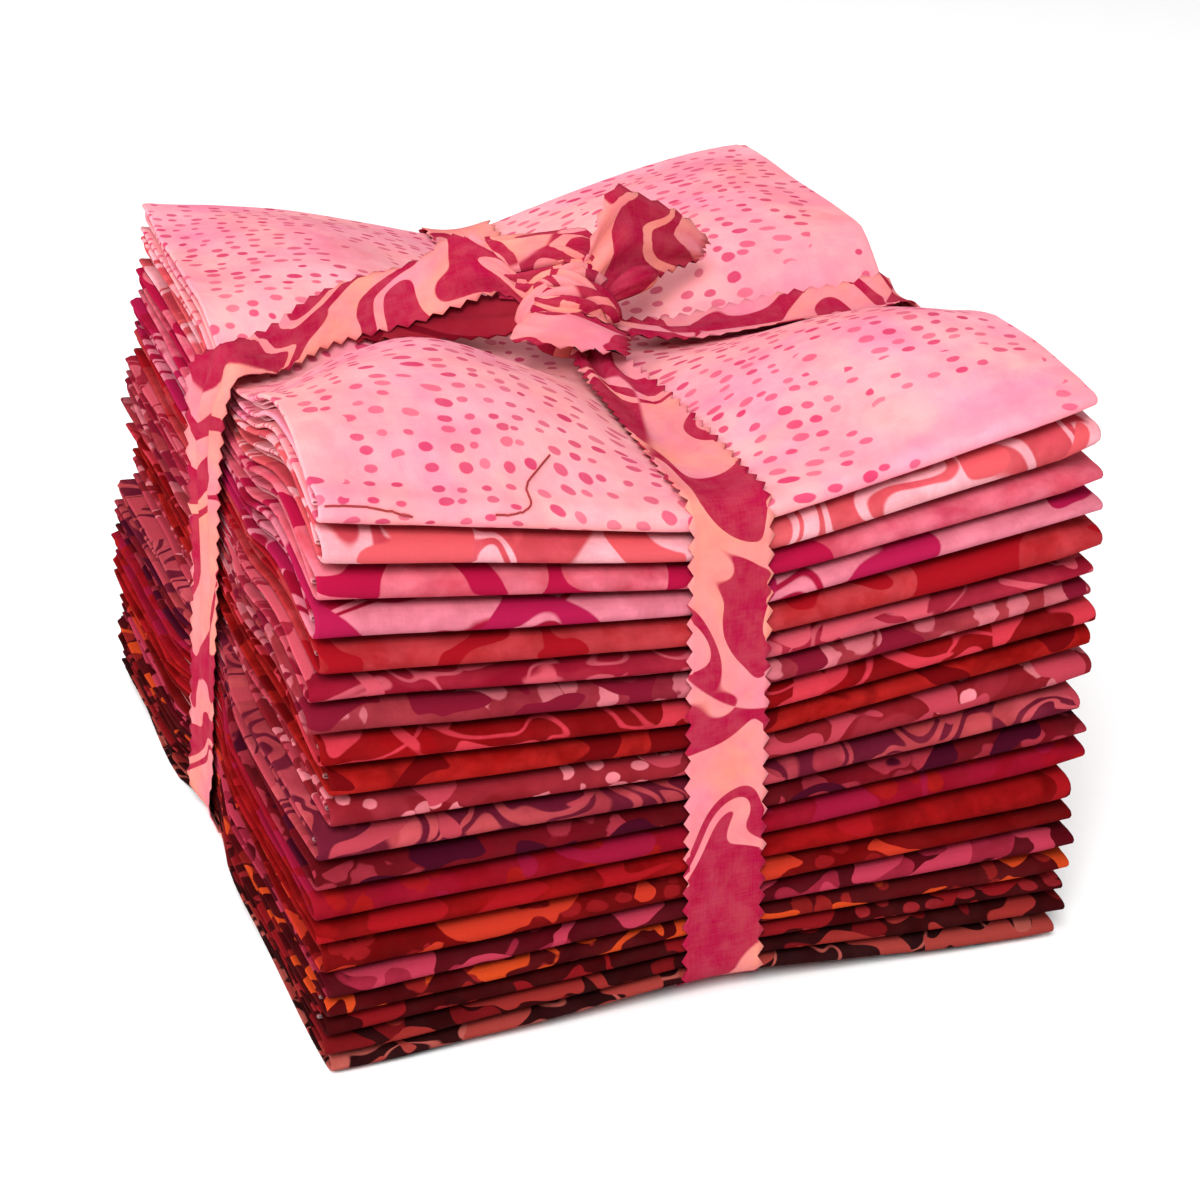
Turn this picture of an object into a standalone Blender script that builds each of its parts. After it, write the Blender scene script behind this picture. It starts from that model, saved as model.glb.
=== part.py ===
"""Fat quarter bundle: twenty folded quarters of cloth, tied both ways with one strip.

Each quarter is a cut of about 457 x 559 mm. It is folded in thirds both ways, so
it lies as three passes of three plies: the lower pass turns up at the front in a
full round fold, the upper pass turns down at the back, and the last pass is
tucked between the two. The strip crosses under the bundle and is knotted on top,
and its two free ends stand beside the knot.

The stack is laid out straight first, by a place across (a), a place from front
to back (b) and a level up the stack (h, 0 under the bottom quarter and 20 on the
top one). The function place() turns that into the real, squeezed shape.
"""
import math

import bmesh
import bpy
from mathutils import Vector

MM = 0.001                      # the sizes below are in millimetres

# The folded stack
HALF_WIDTH = 76.0               # a third of 457 mm, halved
HALF_DEPTH = 93.0               # a third of 559 mm, halved
PIECE_GAP = 0.36                # clear space between two quarters, and to the strip
PASS_GAP = 0.055                # space between two passes, as a share of a quarter
FOLD_DEPTH = 4.5                # how far the round front fold reaches past the plies
BACK_FOLD_DEPTH = 3.0
BACK_FOLD_HOLLOW = 0.25         # the space inside the back fold, as a share of its depth
FOLD_STEPS = 3                  # points round a fold, between its two ends
END_ROUND = 2.5                 # the right ends close over this last stretch
PASS_INSET = (0.5, 0.0, 1.3)    # lower, upper and tucked pass, at the side ends

# The two lines along which the strip squeezes the stack
BAND_A = 2.0                    # the front-to-back band runs here
CROSS_FOOT = 12.0               # the side-to-side band, under the stack
CROSS_HEAD = -5.0               # and on top of it
NEAR_REACH_FOOT = 26.0          # the cloth springs back this far in front of that band,
NEAR_REACH_HEAD = 42.0          # under the stack and on top of it
FAR_REACH = 24.0                # and this far behind it
CROSS_SQUEEZE = 0.7             # squeeze at the sides, against 1 under the front band
BAND_LIFT = 4.3                 # the bands lift the bottom quarter off the table
FLAT_LEVELS = 4.0               # below this level the cloth beside the bands lies flatter
FRONT_PINCH = 2.5
BACK_PINCH = 2.0
SIDE_PINCH = 1.5

# The left side leans: in at the top of the back corner, out lower down
LEAN_FOOT_FRONT = -1.5
LEAN_HEAD_BACK = 5.0
LEAN_FOOT_BACK = -6.0
LEAN_SPAN = 0.7
LEAN_RIGHT_BACK = 1.5

# The four puffs of the top quarters
PUFF_NEAR_LEFT = 13.0
PUFF_NEAR_RIGHT = 7.0
PUFF_FAR = 6.5
PUFF_LEVELS = {17: 0.12, 18: 0.34, 19: 0.62, 20: 1.0}    # share of it, by level
PUFF_A_LEFT = -40.0             # the puffs are highest along these places
PUFF_A_RIGHT = 42.0
PUFF_B_NEAR = -64.0
PUFF_B_FAR = 52.0
PUFF_ACROSS = (0.0, 1.0, 0.0, 1.0, 0.0)
PUFF_ALONG = (0.0, 0.84, 1.04, 0.0, 0.8, 1.0, 0.0)
# The same with a middle value between each two, for the top face of all
PUFF_ACROSS_FINE = (0.0, 0.62, 1.0, 0.62, 0.0, 0.62, 1.0, 0.80, 0.12)
PUFF_ALONG_FINE = (0.0, 0.48, 0.84, 0.98, 1.04, 0.92, 0.0, 0.45, 0.8, 0.97, 1.0, 0.72, 0.0)

# At the left end the near half of the upper quarters also rises in an arch
ARCH_RISE = 5.0
ARCH_FOOT = 8.0                 # it starts above this level and is full at the next
ARCH_HEAD = 18.0
ARCH_ACROSS_FINE = (1.0, 0.5)
ARCH_ALONG = (0.0, 1.0, 0.4)
ARCH_ALONG_FINE = (0.0, 0.72, 1.0, 0.85, 0.4)

# One row for each quarter, from the top one down, in millimetres: its thickness
# at the left end, under the band and at the right end, how far it sticks out at
# the left, right, front and back, and how full its right end is (1 is cut square)
COLUMNS = ("left", "band", "right", "left_out", "right_out", "front_out", "back_out", "full")
QUARTERS = (
    (7.6, 6.0, 5.1, 0.0, -1.1, 0.0, 0.0, 0.60),
    (7.6, 5.8, 9.7, -0.6, -0.1, 0.5, 1.0, 0.60),
    (7.4, 5.2, 7.1, 0.6, 1.3, -0.2, -0.6, 0.45),
    (7.4, 5.5, 5.2, 1.2, 1.1, 0.4, 0.8, 0.60),
    (6.6, 6.4, 8.9, 1.0, 1.9, 0.7, 1.5, 0.60),
    (5.0, 4.8, 4.1, 2.3, 0.7, -0.3, -0.4, 0.50),
    (6.9, 5.8, 4.5, 2.6, 0.0, 0.2, 0.6, 0.55),
    (6.3, 5.3, 5.5, 0.6, 1.9, 0.9, 1.2, 1.0),
    (6.5, 5.1, 5.1, -0.2, 1.7, 0.3, -0.8, 1.0),
    (6.4, 5.8, 8.4, -0.8, 1.7, -0.4, 0.4, 0.60),
    (6.2, 5.2, 5.8, 2.3, -0.3, 0.5, 1.6, 0.80),
    (6.1, 4.9, 5.2, 2.3, 1.5, 0.8, 0.2, 0.40),
    (6.6, 5.8, 7.0, 2.4, 2.7, 0.1, -0.5, 0.40),
    (4.9, 5.1, 8.5, 2.5, -0.5, 0.6, 0.9, 0.80),
    (7.1, 5.6, 4.0, 1.2, 0.1, -0.2, 1.3, 0.70),
    (4.4, 4.4, 6.4, 1.2, 1.0, 0.4, -0.3, 0.50),
    (3.9, 3.9, 5.1, 1.7, 0.7, 0.9, 0.7, 0.45),
    (4.4, 3.4, 4.6, 1.9, 0.4, 0.2, 1.1, 0.55),
    (4.0, 3.4, 4.9, 1.1, 0.3, 0.5, 0.0, 0.60),
    (4.2, 3.2, 5.4, 0.6, -1.1, 0.0, 0.5, 0.45),
)
LEFT_MOST = 2.7                 # the furthest that any quarter sticks out
RIGHT_MOST = 2.8
FRONT_MOST = 1.0
BACK_MOST = 1.7
TO_MIDDLE = (1.92, -0.35, 0.0)     # brings the middle of the whole bundle to the origin

# The strip of cloth that ties the stack, pinked along its edges
STRIP_HALF = 8.5
STRIP_THICK = 1.0
RING = 6                        # points round the strip's section, three on each face
TOOTH_STEP = 2.0                # from the tip of a tooth to the notch beside it
TOOTH_DEPTH = 1.5
CROSSING_STEP = 0.7             # the second band rides over the first by this
CROSSING_HALF = 20.0
BOTTOM_SLACK = 0.3              # the bands hang this much below the bottom quarter
CORNER_STAND = 0.4              # and stand off the stack's corners by these
LOW_CORNER_STAND = 0.2
HIGH_LEFT_HALF = 7.5            # half width where the strip comes up at the left
BACK_CORNER_IN = 0.8            # where it turns over the back edge
BACK_CORNER_LEVEL = 0.1

# On top, the front-to-back band: a row for each line, from front to back, with
# its half width and how far it stands off the cloth
LONG_TOP = ((8.5, 0.2), (8.3, 0.2), (8.0, 0.3), (7.7, 0.4), (7.2, 0.6), (6.2, 1.6), (5.5, 6.0),
            (6.0, 3.5), (6.5, 1.6), (7.5, 0.8), (8.0, 0.4), (8.5, 0.2), (8.5, 0.2))

# The side-to-side band on top, right of the knot: place across, half width, stand-off
CROSS_RIGHT = ((14.0, 5.5, 6.0), (22.0, 7.0, 2.0), (32.0, 8.0, 0.8), (42.0, 8.5, 0.6),
               (59.0, 8.5, 0.4), (70.0, 8.5, 0.3))

# And left of it, where it stands up in a fold: near edge, far edge and how much
# its upper side leans to the back
CROSS_LEFT = (
    ((-71.0, -12.0, 114.0), (-70.5, 2.5, 112.5), 0.3),
    ((-60.0, -8.5, 113.0), (-59.0, 9.0, 116.0), 0.3),
    ((-47.0, -1.0, 112.0), (-45.0, 18.0, 119.5), 0.3),
    ((-31.0, 2.0, 113.5), (-30.0, 24.0, 119.5), 0.3),
    ((-21.0, 3.0, 119.0), (-21.0, 20.0, 127.0), -0.4),
    ((-12.0, 0.0, 123.0), (-11.0, 10.0, 128.5), -0.4),
    ((-3.0, -5.0, 120.0), (0.0, 2.0, 123.0), -0.4),
)

# The knot, and the free ends: lower edge and upper edge, from the knot outwards
KNOT_CENTRE = (3.0, -4.0, 115.0)
KNOT_RADII = (9.6, 8.2, 8.0)
WRAP_CENTRE = (1.0, -6.5, 116.6)
WRAP_RADII = (7.8, 3.2)
WRAP_TILT = (70.0, 35.0)
KNOT_SEGMENTS = 12
KNOT_RINGS = 8
WRAP_SIDES = 6
UPPER_END = (
    ((4.0, -5.0, 116.0), (3.0, 0.0, 121.0)),
    ((11.0, -4.5, 116.5), (11.0, 4.5, 134.0)),
    ((14.0, -2.5, 116.5), (15.0, 6.0, 139.0)),
    ((22.0, 3.5, 117.5), (24.0, 8.0, 134.5)),
    ((30.5, 8.0, 118.5), (33.0, 9.0, 130.5)),
)
UPPER_END_BOW = 1.2             # their middle stands out from the edges by this
LOWER_END_BOW = 0.8
LOWER_END = (
    ((0.0, -8.0, 111.5), (2.0, -6.0, 117.5)),
    ((-9.0, -11.5, 111.8), (-7.0, -10.0, 118.0)),
    ((-13.0, -14.5, 111.8), (-8.5, -13.5, 117.8)),
    ((-2.0, -18.0, 111.0), (1.0, -13.5, 116.6)),
    ((9.0, -20.5, 110.4), (11.2, -14.5, 114.2)),
)

# Colours, from the top quarter down, and the strip's
COLOURS = (
    (0.90, 0.42, 0.50), (0.85, 0.30, 0.30), (0.80, 0.22, 0.32), (0.68, 0.08, 0.22),
    (0.76, 0.13, 0.12), (0.68, 0.10, 0.20), (0.56, 0.22, 0.28), (0.64, 0.05, 0.06),
    (0.66, 0.05, 0.04), (0.45, 0.12, 0.14), (0.48, 0.14, 0.18), (0.30, 0.07, 0.11),
    (0.66, 0.07, 0.10), (0.60, 0.03, 0.03), (0.48, 0.02, 0.02), (0.32, 0.04, 0.10),
    (0.27, 0.03, 0.06), (0.40, 0.04, 0.05), (0.22, 0.02, 0.03), (0.10, 0.02, 0.03),
)
STRIP_COLOUR = (0.86, 0.30, 0.38)
CLOTH_ROUGHNESS = 0.85
CREASE_ANGLE = 40.0             # edges sharper than this stay sharp

LEVELS = len(QUARTERS)
TOP = float(LEVELS)


def rows():
    """The quarters' rows as dictionaries, from the top one down."""
    return [dict(zip(COLUMNS, row)) for row in QUARTERS]


def level_heights(column, start):
    """Heights of the levels 0 to 20 at one column of the table."""
    heights = [start]
    for row in reversed(rows()):
        heights.append(heights[-1] + row[column])
    return heights


HEIGHTS_LEFT = level_heights("left", 0.0)
HEIGHTS_BAND = level_heights("band", BAND_LIFT)
HEIGHTS_RIGHT = level_heights("right", 0.0)


def blend(start, end, share):
    return start + (end - start) * share


def cross_b(h):
    """Where the side-to-side band crosses, at a level."""
    return blend(CROSS_FOOT, CROSS_HEAD, h / TOP)


def band_share(a, h=None):
    """1 under the front-to-back band, 0 at the two side ends.

    Given a level low in the stack, it falls away sooner: there the weight presses
    the cloth flat on the table beside the band.
    """
    edge, crest = (-HALF_WIDTH, PUFF_A_LEFT) if a < BAND_A else (HALF_WIDTH, PUFF_A_RIGHT)
    at_crest = (edge - crest) / (edge - BAND_A)
    if h is not None:
        at_crest *= min(1.0, h / FLAT_LEVELS)
    inward = (a - crest) / (BAND_A - crest)
    if inward > 0.0:
        return blend(at_crest, 1.0, min(1.0, inward))
    return at_crest * max(0.0, (edge - a) / (edge - crest))


def near_reach(h):
    """How far in front of the side-to-side band the cloth springs back."""
    return blend(NEAR_REACH_FOOT, NEAR_REACH_HEAD, h / TOP)


def cross_share(b, h):
    """1 under the side-to-side band, 0 where the cloth has sprung back."""
    away = b - cross_b(h)
    reach = FAR_REACH if away > 0.0 else near_reach(h)
    return max(0.0, 1.0 - abs(away) / reach)


def halved(values):
    """The values with a middle one put between each two."""
    result = [values[0]]
    for low, high in zip(values, values[1:]):
        result += [(low + high) / 2.0, high]
    return result


def columns_at(fine):
    """The places across the bundle at which the cloth bends."""
    columns = [-HALF_WIDTH, PUFF_A_LEFT, BAND_A, PUFF_A_RIGHT, HALF_WIDTH]
    return halved(columns) if fine else columns


def lines_at(h, fine):
    """The lines from front to back at which the cloth bends."""
    cross = cross_b(h)
    lines = [-(HALF_DEPTH - FOLD_DEPTH), PUFF_B_NEAR, cross - near_reach(h), cross,
             cross + FAR_REACH, PUFF_B_FAR, HALF_DEPTH - BACK_FOLD_DEPTH]
    return halved(lines) if fine else lines


def puff_height(column, line, a, b, level):
    """Extra height of a puff at one crossing of a column and a line."""
    if level == LEVELS:
        share = PUFF_ACROSS_FINE[column] * PUFF_ALONG_FINE[line]
    else:
        share = PUFF_ACROSS[column] * PUFF_ALONG[line]
    full = PUFF_FAR
    if b < cross_b(level):
        full = PUFF_NEAR_LEFT if a < BAND_A else PUFF_NEAR_RIGHT
    return PUFF_LEVELS.get(level, 0.0) * full * share


def arch_height(column, line, level):
    """Extra height of the left end's arch at one crossing of a column and a line."""
    fine = level == LEVELS
    across = ARCH_ACROSS_FINE if fine else (1.0,)
    along = ARCH_ALONG_FINE if fine else ARCH_ALONG
    if column >= len(across) or line >= len(along):
        return 0.0
    full = min(1.0, max(0.0, (level - ARCH_FOOT) / (ARCH_HEAD - ARCH_FOOT)))
    return ARCH_RISE * full * across[column] * along[line]


def node_height(column, line, level, columns, lines):
    """Height of a level at one crossing of a column and a line."""
    a = columns[column]
    b = lines[line]
    heights = HEIGHTS_LEFT if a < BAND_A else HEIGHTS_RIGHT
    under_band = HEIGHTS_BAND[level]
    at_side = blend(heights[level], under_band, CROSS_SQUEEZE * cross_share(b, level))
    return (blend(at_side, under_band, band_share(a, level)) + puff_height(column, line, a, b, level)
            + arch_height(column, line, level))


def cell_of(value, knots):
    """The step of a list of knots that a value is in, and its share of that step."""
    step = 0
    while step < len(knots) - 2 and value > knots[step + 1]:
        step += 1
    return step, (value - knots[step]) / (knots[step + 1] - knots[step])


def level_height(a, b, h, level):
    """Height of a level, flat on each triangle between its crossings."""
    fine = level == LEVELS
    columns = columns_at(fine)
    lines = lines_at(level, fine)
    column, across = cell_of(a, columns)
    line, along = cell_of(b, lines_at(h, fine))
    low = node_height(column, line, level, columns, lines)
    high = node_height(column + 1, line + 1, level, columns, lines)
    if across > along:
        corner = node_height(column + 1, line, level, columns, lines)
        return low + (corner - low) * across + (high - corner) * along
    corner = node_height(column, line + 1, level, columns, lines)
    return low + (corner - low) * along + (high - corner) * across


def side_lean(b, h):
    """How far the left and the right side lean at a place and level."""
    depth_share = (b + HALF_DEPTH) / (2.0 * HALF_DEPTH)
    drop = 1.0 - h / TOP
    front = LEAN_FOOT_FRONT * drop
    back = blend(LEAN_HEAD_BACK, LEAN_FOOT_BACK, min(1.0, drop / LEAN_SPAN))
    return blend(front, back, depth_share), LEAN_RIGHT_BACK * depth_share


def place(a, b, h):
    """The real place, in millimetres, of a point of the straight stack."""
    left, right = side_lean(b, h)
    pinch = SIDE_PINCH * cross_share(b, h)
    if a < 0.0:
        x = a + (left + pinch) * (-a / HALF_WIDTH)
    else:
        x = a + (right - pinch) * (a / HALF_WIDTH)
    if b < 0.0:
        y = b + FRONT_PINCH * band_share(a) * (-b / HALF_DEPTH)
    else:
        y = b - BACK_PINCH * band_share(a) * (b / HALF_DEPTH)
    low = min(int(h), LEVELS - 1)
    z = blend(level_height(a, b, h, low), level_height(a, b, h, low + 1), h - low)
    return Vector((x, y, z))


def fold_points(count):
    """Cosine and sine at the inner points of a half-round fold, from below up."""
    angles = [math.pi * (step + 1) / (count + 1) - math.pi / 2.0 for step in range(count)]
    return [(math.cos(angle), math.sin(angle)) for angle in angles]


def quarter_pairs(fine):
    """The folded section of a quarter, as pairs of an outer and an inner point.

    A point is (line, reach, share, lie): the line from front to back that it is
    on, how far it reaches past that line into a fold (a share of the fold's
    depth, front folds below zero), its share of the quarter's thickness, and
    which pass it belongs to.
    """
    layer = (1.0 - 2.0 * PASS_GAP) / 3.0
    lower_top = layer
    tucked_low = layer + PASS_GAP
    tucked_top = 2.0 * layer + PASS_GAP
    upper_low = 1.0 - layer
    lines = len(lines_at(0.0, fine))
    last = lines - 1
    pairs = []
    for line in reversed(range(lines)):
        pairs.append(((line, 0.0, 0.0, 0), (line, 0.0, lower_top, 0)))
    inner_half = 0.5 - layer
    for out, up in fold_points(FOLD_STEPS):
        outer = (0, -out, 0.5 + 0.5 * up, 0)
        inner = (0, -out * inner_half * 2.0, 0.5 + inner_half * up, 0)
        pairs.append((outer, inner))
    for line in range(lines):
        pairs.append(((line, 0.0, 1.0, 1), (line, 0.0, upper_low, 1)))
    middle = (tucked_low + 1.0) / 2.0
    outer_half = (1.0 - tucked_low) / 2.0
    for out, up in reversed(fold_points(FOLD_STEPS)):
        outer = (last, out, middle + outer_half * up, 2)
        inner = (last, out * BACK_FOLD_HOLLOW, middle + PASS_GAP / 2.0 * up, 2)
        pairs.append((outer, inner))
    for line in reversed(range(lines)):
        pairs.append(((line, 0.0, tucked_low, 2), (line, 0.0, tucked_top, 2)))
    return pairs


def stations(fine):
    """The places across the bundle between the two ends of a quarter."""
    return columns_at(fine)[1:-1] + [HALF_WIDTH - END_ROUND]


def quarter_point(point, row, level, station, end):
    """The straight-stack place of one section point at one station."""
    line, reach, share, lie = point
    if end == "right":
        share = 0.5 + (share - 0.5) * row["full"]
    fine = level == LEVELS - 1
    h = level + share
    b = lines_at(h, fine)[line]
    free = 1.0 - band_share(station)
    if reach < 0.0:
        b += reach * (FOLD_DEPTH + row["front_out"] * free)
    if reach > 0.0:
        b += reach * (BACK_FOLD_DEPTH + row["back_out"] * free)
    away = 1.0 - cross_share(b, h)
    a = station
    if end == "left":
        a = -HALF_WIDTH - row["left_out"] * away + PASS_INSET[lie]
    if end == "right":
        a = HALF_WIDTH + row["right_out"] * away - PASS_INSET[lie]
    return a, b, h


def strip_faces(outer, inner, rises):
    """Triangles of a folded strip of cloth, from its grids of points.

    outer and inner hold a row of vertex numbers for each station. Every four
    corners are cut from low to low into high to high, so that two quarters that
    lie on each other are cut alike and their gap stays even.
    """
    faces = []
    spans = range(len(outer) - 1)
    steps = range(len(rises))
    for grid in (outer, inner):
        for span in spans:
            near, far = grid[span], grid[span + 1]
            for step in steps:
                if rises[step]:
                    faces.append((near[step], near[step + 1], far[step + 1]))
                    faces.append((near[step], far[step + 1], far[step]))
                else:
                    faces.append((near[step], near[step + 1], far[step]))
                    faces.append((near[step + 1], far[step + 1], far[step]))
    for station in (0, len(outer) - 1):
        for step in steps:
            corner = outer[station][step]
            faces.append((corner, outer[station][step + 1], inner[station][step + 1]))
            faces.append((corner, inner[station][step + 1], inner[station][step]))
    for step in (0, len(rises)):
        for span in spans:
            corner = outer[span][step]
            faces.append((corner, outer[span + 1][step], inner[span + 1][step]))
            faces.append((corner, inner[span + 1][step], inner[span][step]))
    return faces


def make_material(name, colour):
    material = bpy.data.materials.new(name)
    material.use_nodes = True
    shader = material.node_tree.nodes["Principled BSDF"]
    shader.inputs["Base Color"].default_value = (*colour, 1.0)
    shader.inputs["Roughness"].default_value = CLOTH_ROUGHNESS
    shader.inputs["Metallic"].default_value = 0.0
    return material


def in_frame(point):
    """A point in metres, with the middle of the whole bundle over the origin."""
    return (Vector(point) + Vector(TO_MIDDLE)) * MM


def finish_object(name, points, faces, colour, collection):
    """A mesh object from points in millimetres, with its faces turned out."""
    mesh = bpy.data.meshes.new(name)
    mesh.from_pydata([tuple(in_frame(point)) for point in points], [], faces)
    work = bmesh.new()
    work.from_mesh(mesh)
    bmesh.ops.triangulate(work, faces=work.faces)
    bmesh.ops.recalc_face_normals(work, faces=work.faces)
    work.to_mesh(mesh)
    work.free()
    mesh.shade_smooth()
    mesh.set_sharp_from_angle(angle=math.radians(CREASE_ANGLE))
    mesh.materials.append(make_material(name, colour))
    piece = bpy.data.objects.new(name, mesh)
    collection.objects.link(piece)
    return piece


def make_quarter(number, row, collection):
    """One folded quarter. Number 1 lies on top."""
    level = LEVELS - number
    fine = number == 1
    pairs = quarter_pairs(fine)
    rises = []
    for (first, _), (second, _) in zip(pairs, pairs[1:]):
        rises.append(second[0] > first[0])
    columns = [(-HALF_WIDTH, "left")]
    columns += [(station, "") for station in stations(fine)]
    columns += [(HALF_WIDTH, "right")]
    points = []
    outer = []
    inner = []
    for station, end in columns:
        for side, grid in ((0, outer), (1, inner)):
            grid.append(list(range(len(points), len(points) + len(pairs))))
            for pair in pairs:
                a, b, h = quarter_point(pair[side], row, level, station, end)
                point = place(a, b, h)
                share = h - level
                point.z += PIECE_GAP * (0.5 - share) if level > 0 else -PIECE_GAP * share / 2.0
                points.append(point)
    name = "quarter_%02d" % number
    return finish_object(name, points, strip_faces(outer, inner, rises),
                         COLOURS[number - 1], collection)


def strip_rows_mesh(name, rows_of_strip, closed, collection):
    """A length of strip from rows of (near, middle, far) points and outward ways."""
    points = []
    rings = []
    for edge_points, ways in rows_of_strip:
        ring = list(range(len(points), len(points) + RING))
        points += list(edge_points)
        points += [point + way * STRIP_THICK for point, way in zip(edge_points, ways)][::-1]
        rings.append(ring)
    faces = []
    spans = list(zip(rings, rings[1:]))
    if closed:
        spans.append((rings[-1], rings[0]))
    else:
        for ring in (rings[0], rings[-1]):
            faces += [(ring[0], ring[1], ring[4], ring[5]), (ring[1], ring[2], ring[3], ring[4])]
    for first, second in spans:
        for step in range(RING):
            after = (step + 1) % RING
            faces.append((first[step], first[after], second[after], second[step]))
    return finish_object(name, points, faces, STRIP_COLOUR, collection)


def off_surface(a, b, h, way, stand):
    """A point that stands off the stack, for the strip to lie on."""
    return place(a, b, h) + way * (PIECE_GAP + stand)


def tooth_half(index):
    """Half width of the strip at a tip or a notch of its pinked edge."""
    return STRIP_HALF - TOOTH_DEPTH * (index % 2)


def leg_levels():
    """Levels down one side of the stack, a tooth's step apart."""
    steps = 2 * int(HEIGHTS_BAND[-1] / TOOTH_STEP / 2.0)
    return [blend(TOP - 0.5, 0.5, step / steps) for step in range(steps + 1)]


UP = Vector((0.0, 0.0, 1.0))
DOWN = -UP
FRONT = Vector((0.0, -1.0, 0.0))
BACK = -FRONT
LEFT = Vector((-1.0, 0.0, 0.0))
RIGHT = -LEFT
ROUND = math.sqrt(0.5)


def long_row(b, h, way, stand, half, out):
    """One row of the front-to-back band, across the bundle."""
    points = []
    for shift in (-half, 0.0, half):
        a = BAND_A + shift
        free = 1.0 - band_share(a)
        points.append(off_surface(a, b, h, way, stand) + Vector((0.0, out * free, 0.0)))
    return points, [way] * 3


def long_band(collection):
    """The band from front to back, all the way round."""
    strip = []
    corner = FOLD_DEPTH * (1.0 - ROUND)
    rise = 0.5 * ROUND
    back_corner = HALF_DEPTH - BACK_CORNER_IN
    for line, (half, stand) in zip(lines_at(TOP, True), LONG_TOP):
        strip.append(long_row(line, TOP, UP, stand, half, 0.0))
    high_back = (back_corner, TOP - BACK_CORNER_LEVEL, (UP + BACK) * ROUND)
    strip.append(long_row(*high_back, CORNER_STAND, STRIP_HALF, BACK_MOST))
    for index, h in enumerate(leg_levels()):
        strip.append(long_row(HALF_DEPTH, h, BACK, 0.0, tooth_half(index), BACK_MOST))
    low_back = (back_corner, BACK_CORNER_LEVEL, (DOWN + BACK) * ROUND)
    strip.append(long_row(*low_back, CORNER_STAND, STRIP_HALF, BACK_MOST))
    for line in reversed(lines_at(0.0, True)):
        strip.append(long_row(line, 0.0, DOWN, BOTTOM_SLACK, STRIP_HALF, 0.0))
    low_front = (corner - HALF_DEPTH, 0.5 - rise, (DOWN + FRONT) * ROUND)
    strip.append(long_row(*low_front, 0.0, STRIP_HALF, -FRONT_MOST))
    for index, h in enumerate(reversed(leg_levels())):
        strip.append(long_row(-HALF_DEPTH, h, FRONT, 0.0, tooth_half(index), -FRONT_MOST))
    high_front = (corner - HALF_DEPTH, TOP - 0.5 + rise, (UP + FRONT) * ROUND)
    strip.append(long_row(*high_front, 0.0, STRIP_HALF, -FRONT_MOST))
    return strip_rows_mesh("tie_strip", strip, True, collection)


def cross_row(a, h, way, stand, half, out):
    """One row of the side-to-side band, from front to back."""
    points = []
    for shift in (-half, 0.0, half):
        b = cross_b(h) + shift
        free = 1.0 - cross_share(b, h)
        points.append(off_surface(a, b, h, way, stand) + Vector((out * free, 0.0, 0.0)))
    return points, [way] * 3


def edge_row(near, far, way, bow):
    """One row of strip from its two edges, with its middle bowed."""
    near = Vector(near)
    far = Vector(far)
    return [near, (near + far) / 2.0 + way * bow, far], [way] * 3


def cross_band(collection):
    """The band from side to side, all the way round."""
    strip = []
    for near, far, tilt in CROSS_LEFT:
        way = (UP + BACK * tilt).normalized()
        strip.append(edge_row(near, far, way, 0.0))
    for a, half, stand in CROSS_RIGHT:
        strip.append(cross_row(a, TOP, UP, stand, half, 0.0))
    high_right = (HALF_WIDTH, TOP, (UP + RIGHT) * ROUND)
    strip.append(cross_row(*high_right, CORNER_STAND, STRIP_HALF, RIGHT_MOST))
    for index, h in enumerate(leg_levels()):
        strip.append(cross_row(HALF_WIDTH, h, RIGHT, 0.0, tooth_half(index), RIGHT_MOST))
    low_right = (HALF_WIDTH, 0.0, (DOWN + RIGHT) * ROUND)
    strip.append(cross_row(*low_right, LOW_CORNER_STAND, STRIP_HALF, RIGHT_MOST))
    for a in reversed(columns_at(True)[1:-1]):
        stand = BOTTOM_SLACK + CROSSING_STEP * max(0.0, 1.0 - abs(a - BAND_A) / CROSSING_HALF)
        strip.append(cross_row(a, 0.0, DOWN, stand, STRIP_HALF, 0.0))
    low_left = (-HALF_WIDTH, 0.0, (DOWN + LEFT) * ROUND)
    strip.append(cross_row(*low_left, LOW_CORNER_STAND, STRIP_HALF, -LEFT_MOST))
    for index, h in enumerate(reversed(leg_levels())):
        strip.append(cross_row(-HALF_WIDTH, h, LEFT, 0.0, tooth_half(index), -LEFT_MOST))
    high_left = (-HALF_WIDTH, TOP, (UP + LEFT) * ROUND)
    strip.append(cross_row(*high_left, CORNER_STAND, HIGH_LEFT_HALF, -LEFT_MOST))
    return strip_rows_mesh("cutter_cross_band", strip, True, collection)


def free_end(name, edges, bow, collection):
    """A free end of the strip, standing clear of the stack."""
    strip = []
    for index, (lower, upper) in enumerate(edges):
        before = Vector(edges[max(index - 1, 0)][0])
        after = Vector(edges[min(index + 1, len(edges) - 1)][0])
        way = (after - before).cross(Vector(upper) - Vector(lower)).normalized()
        strip.append(edge_row(lower, upper, way, bow))
    return strip_rows_mesh(name, strip, False, collection)


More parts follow.
